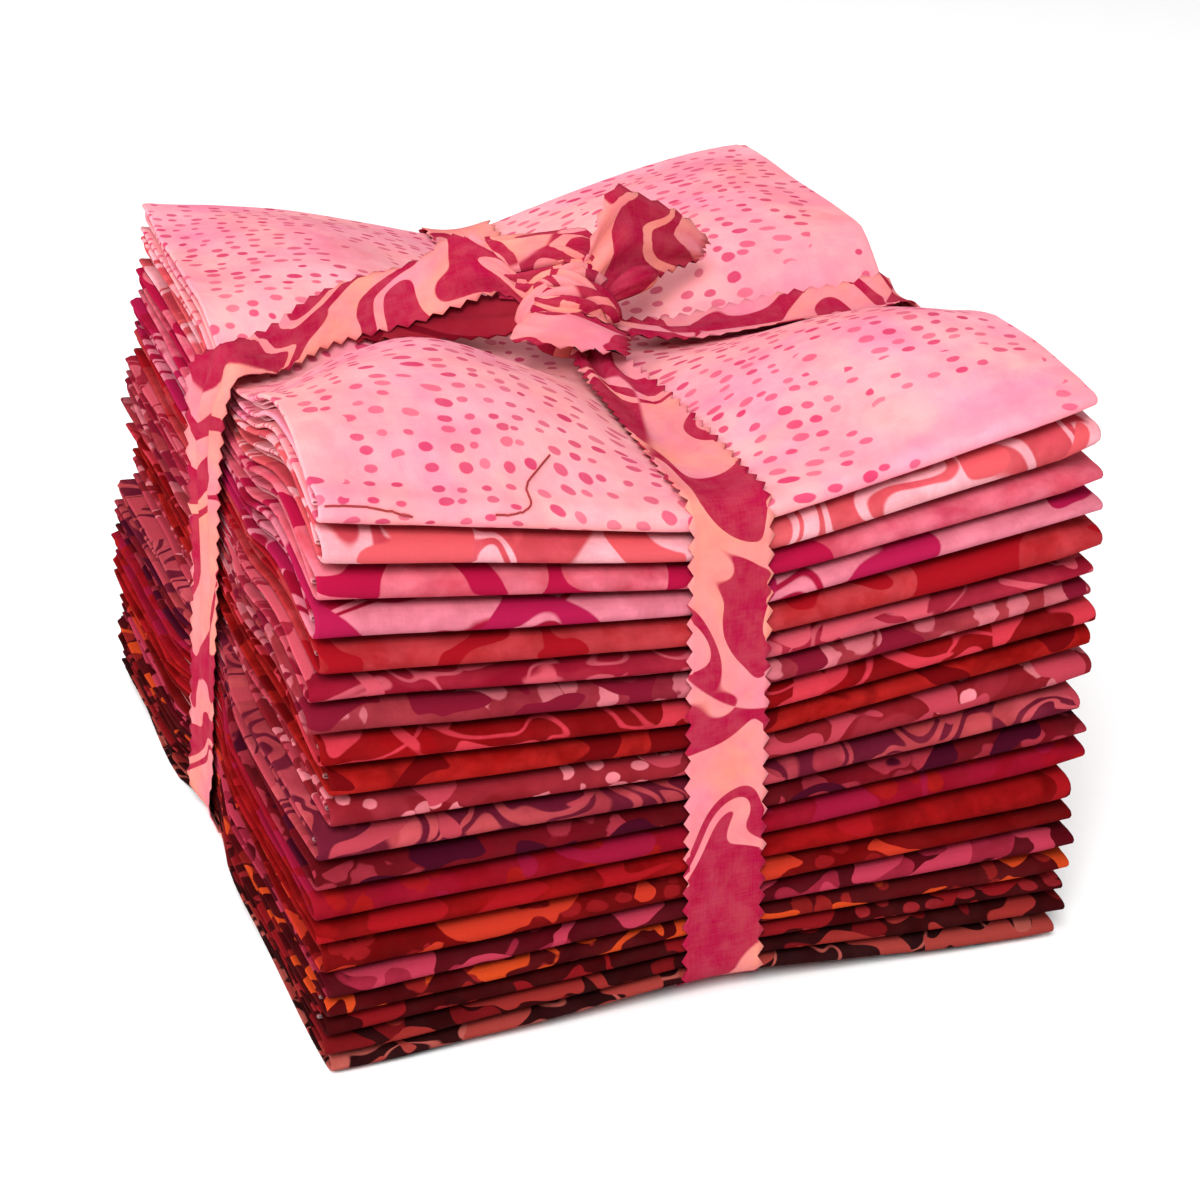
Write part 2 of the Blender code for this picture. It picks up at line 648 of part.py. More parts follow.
def knot(collection):
    """The lump of the knot and the turn of strip around it."""
    lump_mesh = bpy.data.meshes.new("cutter_knot")
    work = bmesh.new()
    bmesh.ops.create_uvsphere(work, u_segments=KNOT_SEGMENTS, v_segments=KNOT_RINGS, radius=1.0)
    bmesh.ops.scale(work, vec=Vector(KNOT_RADII) * MM, verts=work.verts)
    bmesh.ops.translate(work, vec=in_frame(KNOT_CENTRE), verts=work.verts)
    work.to_mesh(lump_mesh)
    work.free()
    lump = bpy.data.objects.new("cutter_knot", lump_mesh)
    collection.objects.link(lump)
    major, minor = WRAP_RADII
    bpy.ops.mesh.primitive_torus_add(major_segments=KNOT_SEGMENTS, minor_segments=WRAP_SIDES,
                                     major_radius=major * MM, minor_radius=minor * MM)
    wrap = bpy.context.object
    wrap.name = "cutter_wrap"
    tilt_x, tilt_z = WRAP_TILT
    wrap.location = in_frame(WRAP_CENTRE)
    wrap.rotation_euler = (math.radians(tilt_x), 0.0, math.radians(tilt_z))
    for other in list(wrap.users_collection):
        other.objects.unlink(wrap)
    collection.objects.link(wrap)
    return lump, wrap


def make_tie(collection, cutters):
    """The whole strip as one body: two bands, the knot and its free ends."""
    tie = long_band(collection)
    joined = [cross_band(cutters)]
    joined += knot(cutters)
    joined.append(free_end("cutter_upper_end", UPPER_END, UPPER_END_BOW, cutters))
    joined.append(free_end("cutter_lower_end", LOWER_END, LOWER_END_BOW, cutters))
    for other in joined:
        other.hide_render = True
        other.display_type = "WIRE"
        union = tie.modifiers.new("with_" + other.name, "BOOLEAN")
        union.operation = "UNION"
        union.solver = "EXACT"
        union.object = other
    return tie


def new_collection(name):
    collection = bpy.data.collections.new(name)
    bpy.context.scene.collection.children.link(collection)
    return collection


def main():
    for old in list(bpy.data.objects):
        bpy.data.objects.remove(old, do_unlink=True)
    bundle = new_collection("fat_quarter_bundle")
    cutters = new_collection("cutters")
    for number, row in enumerate(rows(), start=1):
        make_quarter(number, row, bundle)
    make_tie(bundle, cutters)


main()
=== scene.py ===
"""Fat quarter bundle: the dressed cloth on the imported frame.

Every quarter starts as a flat cut of cloth and is folded by two functions: one
folds it in thirds across, the other folds it in thirds from front to back. The
folded quarter is then laid in the stack, which the strip squeezes along two
lines. The strip is one length of pinked cloth, knotted on top.

Places in the stack are written as in the part: a across, b from front to back
(both in millimetres) and h, the level, which is 0 under the bottom quarter and
20 on the top one. Sizes are in millimetres unless a name says otherwise.
"""
import math

import bmesh
import bpy
import numpy as np
from bpy.props import FloatProperty, FloatVectorProperty, IntProperty, PointerProperty
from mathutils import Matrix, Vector
from mathutils.bvhtree import BVHTree


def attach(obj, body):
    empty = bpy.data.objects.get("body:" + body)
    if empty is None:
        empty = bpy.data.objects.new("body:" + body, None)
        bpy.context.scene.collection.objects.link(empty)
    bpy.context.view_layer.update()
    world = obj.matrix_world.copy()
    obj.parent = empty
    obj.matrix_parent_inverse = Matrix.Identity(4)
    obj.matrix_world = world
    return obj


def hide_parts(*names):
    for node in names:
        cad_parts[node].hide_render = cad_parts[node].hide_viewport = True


bl_info = {
    "name": "Fat quarter bundle",
    "version": (1, 0, 0),
    "blender": (4, 5, 0),
    "location": "View3D > Sidebar > Bundle",
    "description": "Folds, stacks and ties a bundle of quilting cotton quarters",
    "category": "Object",
}

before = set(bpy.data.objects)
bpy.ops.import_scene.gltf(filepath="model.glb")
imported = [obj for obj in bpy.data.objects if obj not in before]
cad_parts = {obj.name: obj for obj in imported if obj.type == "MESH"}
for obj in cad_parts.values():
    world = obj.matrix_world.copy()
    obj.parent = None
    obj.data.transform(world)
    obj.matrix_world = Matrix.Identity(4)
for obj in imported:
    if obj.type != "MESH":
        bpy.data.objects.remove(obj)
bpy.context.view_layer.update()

MM = 0.001

# The cut of cloth and its folds
CUT_WIDTH = 457.0
CUT_LENGTH = 559.0
CLOTH_THICK = 0.24
HALF_WIDTH = 76.0
HALF_DEPTH = 93.0
FRONT_FOLD = 4.5  # how far the full front fold reaches past the flat passes
BACK_FOLD = 3.0
FRONT_ROUND = 0.45  # half the height, as a share of the quarter, of a fold that does so
BACK_ROUND = 0.28
FOLD_FULLNESS = 2.5  # 2 is a half round, more is squarer
PLY_SHARE = 0.105  # from one ply to the next, as a share of the quarter
LOWER_SHARE = 0.155  # middle ply of the lower, tucked and upper pass
TUCKED_SHARE = 0.5
UPPER_SHARE = 0.845
RAW_INSET = 1.6  # a cut edge lies this far inside the side fold beside it,
BACK_INSET = 0.5  # the back fold
FRONT_INSET = 1.0  # and the front fold
LEFT_LOOP = 0.7  # how far the side folds bulge, in spaces between two plies
RIGHT_LOOP = 1.1
LOWER_INSET = 0.5  # the lower and the tucked pass are this much shorter
TUCKED_INSET = 1.3  # at each side than the upper one
TAPER_REACH = 9.0  # the right ends close over this stretch
FRONT_SLIM = 0.19  # a quarter is this much slimmer at its front fold
SLIM_REACH = 22.0
# How far the side folds, the front folds and the plies wander, and over what length
SIDE_SWAY, LEFT_WAVE, RIGHT_WAVE = 0.7, 95.0, 80.0
FRONT_SWAY, FRONT_WAVE = 0.5, 70.0
PLY_SWAY, PLY_WAVE = 0.035, 46.0

# Stretches of the flat cut, with the number of steps in each: first along its
# length (passes and folds in turn), then along its width
LENGTH_STRETCHES = ((183, 22), (10, 8), (178, 24), (7, 6), (181, 22))
WIDTH_STRETCHES = ((151, 18), (1.5, 4), (151.5, 22), (2.5, 6), (150.5, 18))

# The stack, as the part has it
BAND_A = 2.0  # where the front-to-back band runs
CROSS_FOOT = 12.0  # where the side-to-side band runs, at the bottom and on top
CROSS_HEAD = -5.0
NEAR_REACH_FOOT = 27.0  # how far from it the cloth is squeezed, in front of it
NEAR_REACH_HEAD = 43.0
FAR_REACH = 25.0  # and behind it
CROSS_SQUEEZE = 0.7  # 1 would press it as low as under the other band
BAND_LIFT = 4.3  # the bottom quarter rises this much under the front-to-back band
FLAT_LEVELS = 4.0  # the levels near the table that rise in a narrower ridge
FRONT_PINCH = 2.5  # how far the bands pull the ends in
BACK_PINCH = 2.0
SIDE_PINCH = 1.5
LEAN_FOOT_FRONT = -1.5  # how far the left end leans in or out, by its corners
LEAN_HEAD_BACK = 5.0
LEAN_FOOT_BACK = -6.0
LEAN_SPAN = 0.7
LEAN_RIGHT_BACK = 1.5
PUFF_NEAR_LEFT = 13.0  # the heights of the four fields between the bands
PUFF_NEAR_RIGHT = 7.0
PUFF_FAR = 6.5
PUFF_LEVELS = ((16, 0), (17, 0.12), (18, 0.34), (19, 0.62), (20, 1))
PUFF_ACROSS = ((-76, 0), (-58, 0.62), (-40, 1), (-19, 0.62), (2, 0),
               (22, 0.62), (42, 1), (59, 0.80), (76, 0.12))
PUFF_ALONG = ((-88.5, 0), (-76, 0.50), (-64, 0.84), (-55.5, 0.98), (-47, 1.03),
              (-26, 0.90), (-5, 0), (7, 0.45), (19, 0.8), (35, 0.97), (52, 1),
              (71, 0.86), (90, 0.36))
ARCH_RISE = 5.0
ARCH_LEVELS = ((8, 0), (13, 0.5), (18, 1))
ARCH_ACROSS = ((-76, 1), (-58, 0.5), (-40, 0))
ARCH_ALONG = ((-88.5, 0), (-76, 0.76), (-64, 1), (-55.5, 0.88), (-47, 0.45),
              (-33, 0))
TO_MIDDLE = (1.92, -0.35, 0.0)
VALLEY_SOFT = 7.0  # rounds the bottom of the valley under the front band
CROSS_SOFT = 4.0

# One row for each quarter, from the top one down, as in the part
COLUMNS = ("left", "band", "right", "left_out", "right_out", "front_out", "back_out", "full")
QUARTERS = (
    (7.6, 6, 5.1, 0, -1.1, 0, 0, 0.60),
    (7.6, 5.8, 9.7, -0.6, -0.1, 0.5, 1, 0.60),
    (7.4, 5.2, 7.1, 0.6, 1.3, -0.2, -0.6, 0.45),
    (7.4, 5.5, 5.2, 1.2, 1.1, 0.4, 0.8, 0.60),
    (6.6, 6.4, 8.9, 1, 1.9, 0.7, 1.5, 0.60),
    (5, 4.8, 4.1, 2.3, 0.7, -0.3, -0.4, 0.50),
    (6.9, 5.8, 4.5, 2.6, 0, 0.2, 0.6, 0.55),
    (6.3, 5.3, 5.5, 0.6, 1.9, 0.9, 1.2, 1),
    (6.5, 5.1, 5.1, -0.2, 1.7, 0.3, -0.8, 1),
    (6.4, 5.8, 8.4, -0.8, 1.7, -0.4, 0.4, 0.60),
    (6.2, 5.2, 5.8, 2.3, -0.3, 0.5, 1.6, 0.80),
    (6.1, 4.9, 5.2, 2.3, 1.5, 0.8, 0.2, 0.40),
    (6.6, 5.8, 7, 2.4, 2.7, 0.1, -0.5, 0.40),
    (4.9, 5.1, 8.5, 2.5, -0.5, 0.6, 0.9, 0.80),
    (7.1, 5.6, 4, 1.2, 0.1, -0.2, 1.3, 0.70),
    (4.4, 4.4, 6.4, 1.2, 1, 0.4, -0.3, 0.50),
    (3.9, 3.9, 5.1, 1.7, 0.7, 0.9, 0.7, 0.45),
    (4.4, 3.4, 4.6, 1.9, 0.4, 0.2, 1.1, 0.55),
    (4, 3.4, 4.9, 1.1, 0.3, 0.5, 0, 0.60),
    (4.2, 3.2, 5.4, 0.6, -1.1, 0, 0.5, 0.45),
)
LEVELS = len(QUARTERS)
TOP = float(LEVELS)

# The prints, from the top quarter down: two ground colours, the motif's colour
# (all as 0 to 255), the motif, its size in millimetres, how much of the cloth it
# covers, and the colour of a second, sparser motif (None where there is none)
PRINTS = (
    ((228, 160, 168), (214, 120, 148), (186, 52, 92), "dots", 5.5, 0.66, None),
    ((196, 82, 94), (182, 60, 74), (226, 160, 168), "swirls", 11.5, 0.46, (194, 76, 82)),
    ((200, 92, 110), (176, 34, 72), (214, 116, 132), "clouds", 12, 0.30, (150, 14, 52)),
    ((152, 16, 56), (134, 8, 38), (206, 116, 134), "swirls", 15, 0.56, (150, 20, 62)),
    ((150, 26, 32), (162, 42, 46), (172, 58, 64), "clouds", 8, 0.36, (136, 12, 22)),
    ((130, 12, 38), (150, 36, 54), (184, 78, 92), "strokes", 8, 0.46, (180, 70, 84)),
    ((154, 54, 68), (122, 28, 42), (194, 106, 116), "leaves", 7, 0.55, (108, 16, 36)),
    ((136, 8, 14), (104, 6, 10), (186, 50, 64), "strokes", 8.5, 0.30, (176, 46, 58)),
    ((136, 10, 9), (102, 6, 7), (160, 30, 28), "clouds", 8, 0.34, (92, 5, 9)),
    ((116, 16, 26), (140, 38, 50), (222, 128, 138), "spots", 5.5, 0.50, (160, 52, 66)),
    ((180, 74, 86), (134, 36, 50), (88, 18, 38), "swirls", 8.5, 0.36, (158, 54, 66)),
    ((78, 6, 14), (108, 14, 26), (150, 44, 58), "leaves", 7.5, 0.50, (56, 6, 24)),
    ((128, 6, 9), (132, 12, 38), (148, 22, 18), "bars", 7, 0.44, (130, 16, 44)),
    ((120, 5, 7), (94, 3, 5), (146, 17, 20), "clouds", 9, 0.34, (138, 15, 22)),
    ((110, 7, 9), (84, 4, 7), (134, 22, 26), "spots", 6, 0.46, (168, 44, 28)),
    ((62, 3, 11), (80, 8, 19), (138, 32, 52), "patches", 6, 0.42, (158, 46, 66)),
    ((54, 3, 8), (78, 9, 13), (136, 30, 28), "bars", 5.5, 0.44, (176, 58, 24)),
    ((42, 2, 4), (64, 6, 9), (142, 34, 40), "spots", 6, 0.50, (112, 16, 21)),
    ((54, 7, 10), (31, 3, 5), (104, 17, 21), "patches", 6.5, 0.34, (128, 36, 33)),
    ((30, 5, 7), (44, 11, 13), (160, 78, 70), "strokes", 6.5, 0.40, (138, 50, 45)),
)
STRIP_PRINT = ((202, 119, 139), (218, 135, 114), (148, 8, 53), "scrolls", 15, 0.40, None)
# The strip's print made darker: painted shade for its layer in shadow under the fold
STRIP_PAINTED_SHADE = ((120, 18, 36), (132, 30, 42), (92, 5, 20), "scrolls", 15, 0.40, None)
THREAD_COLOUR = (140, 48, 50)


# ---------------------------------------------------------------------------
# Small tools

def colour_of(rgb):
    """A linear colour from one written as 0 to 255."""
    linear = []
    for value in rgb:
        share = value / 255.0
        linear.append(share / 12.92 if share <= 0.04045 else ((share + 0.055) / 1.055) ** 2.4)
    return (*linear, 1.0)


def blend(start, end, share):
    return start + (end - start) * share


def soft_distance(value, soft):
    """The size of a value, with its point at zero rounded."""
    return np.sqrt(value * value + soft * soft) - soft


def curve_between(x, xs, values, slopes):
    """A smooth curve through values at the places xs, with the slope at each."""
    step = np.clip(np.searchsorted(xs, x) - 1, 0, len(xs) - 2)
    wider = (..., *[None] * (values.ndim - 1))
    span = (xs[step + 1] - xs[step])[wider]
    share = np.clip((x - xs[step])[wider] / span, 0.0, 1.0)
    square, cube = share ** 2, share ** 3
    return ((2 * cube - 3 * square + 1) * values[step]
            + (cube - 2 * square + share) * span * slopes[step]
            + (3 * square - 2 * cube) * values[step + 1]
            + (cube - square) * span * slopes[step + 1])


def smooth_curve(x, knots):
    """A smooth curve through (x, y) knots, level at both ends."""
    xs, ys = np.array(knots).T
    slopes = np.zeros_like(ys)
    slopes[1:-1] = (ys[2:] - ys[:-2]) / (xs[2:] - xs[:-2])
    return curve_between(x, xs, ys, slopes)


def smooth_path(x, xs, values):
    """Smooth curves through rows of values, one row at each of the places xs."""
    return curve_between(x, xs, values, np.gradient(values, xs, axis=0))


RIPPLE_WAVES = (1.0, 1.7, 2.6)
RIPPLE_SUM = 1.7  # brings the sum of those waves to about 1


def ripple(x, y, seed, length):
    """A soft uneven wave between about -1 and 1, about so long from crest to crest."""
    turn = np.random.RandomState(seed)
    total = np.zeros(np.broadcast(x, y).shape)
    for octave in RIPPLE_WAVES:
        angle, phase = turn.uniform(0.0, 2.0 * math.pi, 2)
        wave = 2.0 * math.pi * octave / length
        total += np.sin(wave * (x * math.cos(angle) + y * math.sin(angle)) + phase) / octave
    return total / RIPPLE_SUM


def rows():
    return [dict(zip(COLUMNS, row)) for row in QUARTERS]


def level_heights(column, start):
    heights = [start]
    for row in reversed(rows()):
        heights.append(heights[-1] + row[column])
    return np.array(heights)


HEIGHTS_LEFT = level_heights("left", 0.0)
HEIGHTS_BAND = level_heights("band", BAND_LIFT)
HEIGHTS_RIGHT = level_heights("right", 0.0)
WHOLE_LEVELS = np.arange(LEVELS + 1.0)


# ---------------------------------------------------------------------------
# The squeezed stack

def cross_b(h):
    return blend(CROSS_FOOT, CROSS_HEAD, h / TOP)


def band_share(a):
    """1 under the front-to-back band, 0 at the two side ends."""
    reach = np.where(a < BAND_A, HALF_WIDTH + BAND_A, HALF_WIDTH - BAND_A)
    away = soft_distance(a - BAND_A, VALLEY_SOFT) / soft_distance(reach, VALLEY_SOFT)
    return np.clip(1.0 - away, 0.0, 1.0)


def cross_share(b, h):
    """1 under the side-to-side band, 0 where the cloth has sprung back."""
    off = b - cross_b(h)
    reach = np.where(off > 0.0, FAR_REACH, blend(NEAR_REACH_FOOT, NEAR_REACH_HEAD, h / TOP))
    away = soft_distance(off, CROSS_SOFT) / soft_distance(reach, CROSS_SOFT)
    share = np.clip(1.0 - away, 0.0, 1.0)
    return share * (0.5 + share * (1.5 - share))


# Creases of the top quarter: start, end, half width and height
CREASES = (
    ((-12, -14), (-66, -30), 5, 0.9),
    ((-8, -20), (-50, -62), 6, -0.8),
    ((-4, -24), (-22, -72), 5, 0.7),
    ((10, -22), (30, -70), 6, 0.7),
    ((16, -14), (68, -40), 7, -0.8),
    ((-14, 6), (-60, 40), 6, 0.8),
    ((-10, 12), (-34, 74), 6, -0.7),
    ((12, 8), (62, 44), 7, 0.8),
    ((8, 14), (26, 76), 5, -0.6),
)


CREASE_RISE = 4.0  # how steeply a crease rises at its start
CREASE_FADE = 2.5  # and fades at its end


def creases(a, b):
    """Height of the soft ridges and troughs that the knot pulls in the top cloth."""
    total = np.zeros_like(a)
    for start, end, half, height in CREASES:
        length = math.dist(start, end)
        way_a, way_b = (end[0] - start[0]) / length, (end[1] - start[1]) / length
        run = ((a - start[0]) * way_a + (b - start[1]) * way_b) / length
        off = (a - start[0]) * way_b - (b - start[1]) * way_a
        ends = (np.clip(run * CREASE_RISE, 0.0, 1.0)
                * np.clip((1.0 - run) * CREASE_FADE, 0.0, 1.0))
        total += height * ends * np.exp(-(off / half) ** 2)
    return total


def stack_height(a, b, h):
    """Height in the squeezed stack of a place across, along and up it."""
    band_height = np.interp(h, WHOLE_LEVELS, HEIGHTS_BAND)
    side_height = np.where(a < BAND_A, np.interp(h, WHOLE_LEVELS, HEIGHTS_LEFT),
                           np.interp(h, WHOLE_LEVELS, HEIGHTS_RIGHT))
    side_height = blend(side_height, band_height, CROSS_SQUEEZE * cross_share(b, h))
    share = band_share(a)
    pressed = np.clip(1.0 - h / FLAT_LEVELS, 0.0, 1.0)
    share = share * (1.0 - pressed * (1.0 - share))
    full = np.where(a < BAND_A, PUFF_NEAR_LEFT, PUFF_NEAR_RIGHT)
    full = np.where(b < cross_b(h), full, PUFF_FAR)
    full = full * smooth_curve(a, PUFF_ACROSS) * smooth_curve(b, PUFF_ALONG)
    arch = ARCH_RISE * smooth_curve(h, ARCH_LEVELS)
    arch = arch * smooth_curve(a, ARCH_ACROSS) * smooth_curve(b, ARCH_ALONG)
    top_share = np.clip(h - TOP + 1.0, 0.0, 1.0)
    return (blend(side_height, band_height, share) + full * smooth_curve(h, PUFF_LEVELS) + arch
            + creases(a, b) * top_share)


def place(a, b, h):
    """The real places, in millimetres, of points of the straight stack."""
    a, b, h = np.broadcast_arrays(*(np.asarray(value, dtype=float) for value in (a, b, h)))
    depth_share = (b + HALF_DEPTH) / (2.0 * HALF_DEPTH)
    drop = 1.0 - h / TOP
    lean_back = blend(LEAN_HEAD_BACK, LEAN_FOOT_BACK, np.minimum(1.0, drop / LEAN_SPAN))
    lean_left = blend(LEAN_FOOT_FRONT * drop, lean_back, depth_share)
    pinch = SIDE_PINCH * cross_share(b, h)
    x = np.where(a < 0.0, a - (lean_left + pinch) * a / HALF_WIDTH,
                 a + (LEAN_RIGHT_BACK * depth_share - pinch) * a / HALF_WIDTH)
    end_pinch = np.where(b < 0.0, FRONT_PINCH, BACK_PINCH)
    y = b - end_pinch * band_share(a) * b / HALF_DEPTH
    z = stack_height(a, b, np.clip(h, 0.0, TOP)) + np.maximum(h - TOP, 0.0) + np.minimum(h, 0.0)
    return np.stack((x + TO_MIDDLE[0], y + TO_MIDDLE[1], z + TO_MIDDLE[2]), axis=-1)


# ---------------------------------------------------------------------------
# Folding a flat cut

def stretch_lines(stretches, finer):
    """For each line across the cut: which stretch it is in, how far along that
    stretch it is (0 to 1), and its place on the flat cut."""
    lines = [(0, 0.0, 0.0)]
    start = 0.0
    for index, (length, steps) in enumerate(stretches):
        for step in range(1, steps * finer + 1):
            along = step / (steps * finer)
            lines.append((index, along, start + length * along))
        start += length
    return [np.array(column) for column in zip(*lines)]


def by_stretch(which, *choices):
    """For each point the choice of its stretch, the last one for all that follow."""
    stretches = [which == index for index in range(len(choices) - 1)]
    return np.select(stretches, choices[:-1], choices[-1])


def fold_across(which, along, row, thickness, sway):
    """Where the lines of the width go: place across (a), and which ply.

    The middle third is the outer ply. The left third is folded under it, and the
    right third under both, so that the right fold holds the cut edge of the left.
    """
    left = -HALF_WIDTH - row["left_out"] + sway[0]
    right = HALF_WIDTH + row["right_out"] + sway[1]
    half_turn = math.pi * along
    bulge = PLY_SHARE * thickness * np.sin(half_turn)
    across = by_stretch(
        which, blend(right - RAW_INSET * 2.0, left, along), left - LEFT_LOOP * bulge,
        blend(left, right, along), right + RIGHT_LOOP * bulge,
        blend(right, left + RAW_INSET, along))
    ply = by_stretch(
        which, 0.0, 0.5 - 0.5 * np.cos(half_turn), 1.0, np.cos(half_turn), -1.0)
    return across, ply


def fold_turn(angle):
    """Reach and rise round a full fold, squarer than a half circle."""
    power = 2.0 / FOLD_FULLNESS
    reach = np.abs(np.cos(angle)) ** power
    rise = np.sign(np.sin(angle)) * np.abs(np.sin(angle)) ** power
    return reach, rise


def fold_along(which, along, ply, row, free, bow):
    """Where the lines of the length go: place from front to back (b), and share
    of the quarter's thickness. ply is 1 for the outer ply and -1 for the inner."""
    front = FRONT_FOLD - HALF_DEPTH
    back = HALF_DEPTH - BACK_FOLD
    lift = PLY_SHARE * ply
    reach, rise = fold_turn(math.pi * along - math.pi / 2.0)
    front_round = (UPPER_SHARE - LOWER_SHARE) / 2.0 + lift
    front_reach = FRONT_FOLD * front_round / FRONT_ROUND + (row["front_out"] + bow) * free
    back_round = (UPPER_SHARE - TUCKED_SHARE) / 2.0 + lift
    back_reach = BACK_FOLD * back_round / BACK_ROUND + row["back_out"] * free
    b = by_stretch(
        which, blend(HALF_DEPTH - BACK_INSET, front, along), front - front_reach * reach,
        blend(front, back, along), back + back_reach * reach,
        blend(back, front + FRONT_INSET, along))
    share = by_stretch(
        which, LOWER_SHARE - lift, 0.5 + front_round * rise, UPPER_SHARE + lift,
        (UPPER_SHARE + TUCKED_SHARE) / 2.0 - back_round * rise, TUCKED_SHARE - lift)
    return b, share


def cloth_grid(name, shape):
    """A flat grid of cloth as a mesh and its points' places in rows and columns."""
    across, long = shape
    work = bmesh.new()
    bmesh.ops.create_grid(work, x_segments=across - 1, y_segments=long - 1, size=1.0)
    mesh = bpy.data.meshes.new(name)
    work.to_mesh(mesh)
    work.free()
    points = np.empty(len(mesh.vertices) * 3)
    mesh.vertices.foreach_get("co", points)
    points = points.reshape(-1, 3)
    column = np.rint((points[:, 0] + 1.0) / 2.0 * (across - 1)).astype(int)
    line = np.rint((points[:, 1] + 1.0) / 2.0 * (long - 1)).astype(int)
    return mesh, column, line


def lay_out(mesh, places, flat):
    """Moves a grid's points to their places (millimetres) and keeps the flat cut,
    in metres, as its UV map."""
    mesh.vertices.foreach_set("co", (places * MM).astype(np.float32).ravel())
    uv = mesh.uv_layers.new(name="flat_cut")
    corners = np.empty(len(mesh.loops), dtype=np.int32)
    mesh.loops.foreach_get("vertex_index", corners)
    uv.data.foreach_set("uv", (flat[corners] * MM).astype(np.float32).ravel())
    mesh.update()


def add_object(name, data):
    """An object at the origin, in the scene."""
    made = bpy.data.objects.new(name, data)
    bpy.context.scene.collection.objects.link(made)
    return made


def cloth_object(name, mesh, material, thickness):
    """A cloth piece with its thickness, smooth and at the origin."""
    mesh.materials.append(material)
    mesh.shade_smooth()
    piece = add_object(name, mesh)
    thick = piece.modifiers.new("cloth_thickness", "SOLIDIFY")
    thick.thickness = thickness
    thick.offset = 0.0
    return piece


def fold_quarter(number, row, looks):
    """One quarter, from its flat cut to its place in the stack. Number 1 is on top."""
    level = LEVELS - number
    finer = 2 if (number == 1) else 1
    wide_which, wide_along, wide_flat = stretch_lines(WIDTH_STRETCHES, finer)
    long_which, long_along, long_flat = stretch_lines(LENGTH_STRETCHES, finer)
    name = "folded_quarter_%02d" % number
    mesh, column, line = cloth_grid(name, (len(wide_flat), len(long_flat)))
    long_which, flat_along = long_which[line], long_flat[line]
    seed = 10 * number
    inset = by_stretch(long_which, LOWER_INSET, LOWER_INSET, 0.0, TUCKED_INSET)
    sway = (SIDE_SWAY * ripple(flat_along, 0.0, seed, LEFT_WAVE) + inset,
            SIDE_SWAY * ripple(flat_along, 0.0, seed + 1, RIGHT_WAVE) - inset)
    across, ply = fold_across(wide_which[column], wide_along[column], row,
                              (row["left"] + row["right"]) / 2.0, sway)
    free = 1.0 - band_share(across)
    bow = FRONT_SWAY * ripple(across, 0.0, seed + 2, FRONT_WAVE)
    b, share = fold_along(long_which, long_along[line], ply, row, free, bow)
    near_right = np.clip((across - HALF_WIDTH + TAPER_REACH) / TAPER_REACH, 0.0, 1.0)
    share = 0.5 + (share - 0.5) * (1.0 - (1.0 - row["full"]) * near_right ** 2)
    near_front = np.clip((-b - HALF_DEPTH + SLIM_REACH) / SLIM_REACH, 0.0, 1.0)
    share = 0.5 + (share - 0.5) * (1.0 - FRONT_SLIM * near_front ** 2)
    middle = np.sin(math.pi * np.clip(share, 0.0, 1.0))
    share += PLY_SWAY * middle * ripple(across, b, seed + 3, PLY_WAVE)
    out = 1.0 - cross_share(b, level + share)
    home = np.sign(across) * HALF_WIDTH
    across = np.where(np.abs(across) > HALF_WIDTH, home + (across - home) * out, across)
    lay_out(mesh, place(across, b, level + share),
            np.stack((wide_flat[column], flat_along), axis=-1))
    piece = cloth_object(name, mesh, quarter_material(number, looks), looks.cloth_thickness)
    node = "quarter_%02d" % number
    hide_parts(node)
    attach(piece, "root")
    loose = [lay_threads(mesh)] if number == 1 else []


# Loose threads that lie on the top quarter: the places they pass, in millimetres
THREAD_RADIUS = 0.2
LOOSE_THREADS = (
    ((-72.6, -93.6, 116.2), (-69.9, -93.8, 116.1), (-67.2, -93.6, 115.6), (-64.5, -93.4, 114.8),
     (-61.7, -93.4, 113.8), (-59.2, -93.2, 112.5), (-56.9, -92.9, 111.5)),
    ((-26.3, -77, 114), (-28.1, -78.9, 113.6), (-29.9, -80.8, 113.1), (-31.9, -83, 112.7),
     (-33.3, -85, 112.1), (-33.6, -87.1, 111.2), (-34.2, -90.1, 110.7), (-35.6, -91.8, 110.1),
     (-37.3, -92.3, 109.6), (-39.2, -92.5, 109.6), (-41.5, -92.7, 109.8)),
)
THREAD_STEPS = 60
THREAD_TONES = (0.7, 1.4)  # of their colour, at its darkest and lightest
THREAD_SPOTS = 400.0
THREAD_ROUGHNESS = 0.85
THREAD_SIDE = (0.0, -0.7, 0.7)  # the side of the cloth that the threads lie on


def lay_threads(cloth):
    """The loose threads, laid on the cloth's own surface."""
    tree = BVHTree.FromPolygons([vert.co for vert in cloth.vertices],
                                [face.vertices for face in cloth.polygons])
    line = bpy.data.curves.new("loose_threads", "CURVE")
    line.dimensions = "3D"
    line.bevel_depth = THREAD_RADIUS * MM
    line.bevel_resolution = 1
    line.use_fill_caps = True
    off = (CLOTH_THICK / 2.0 + THREAD_RADIUS) * MM
    for passes in LOOSE_THREADS:
        reach = np.arange(len(passes), dtype=float)
        where = np.linspace(0.0, reach[-1], THREAD_STEPS)
        spline = line.splines.new("POLY")
        spline.points.add(THREAD_STEPS - 1)
        for point, spot in zip(spline.points, smooth_path(where, reach, np.array(passes))):
            outside = Vector(spot) * MM + Vector(THREAD_SIDE) * MM
            near, normal = tree.find_nearest(outside)[:2]
            out = normal if normal.dot(outside - near) > 0.0 else -normal
            point.co = (*(near + out * off), 1.0)
    dyed = colour_of(THREAD_COLOUR)
    tones = [scaled(dyed, tone) for tone in THREAD_TONES]
    line.materials.append(uneven_material("loose_thread", THREAD_SPOTS, *tones, THREAD_ROUGHNESS))
    threads = add_object("loose_threads", line)
    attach(threads, "root")
    return threads


# ---------------------------------------------------------------------------
# The strip that ties the stack

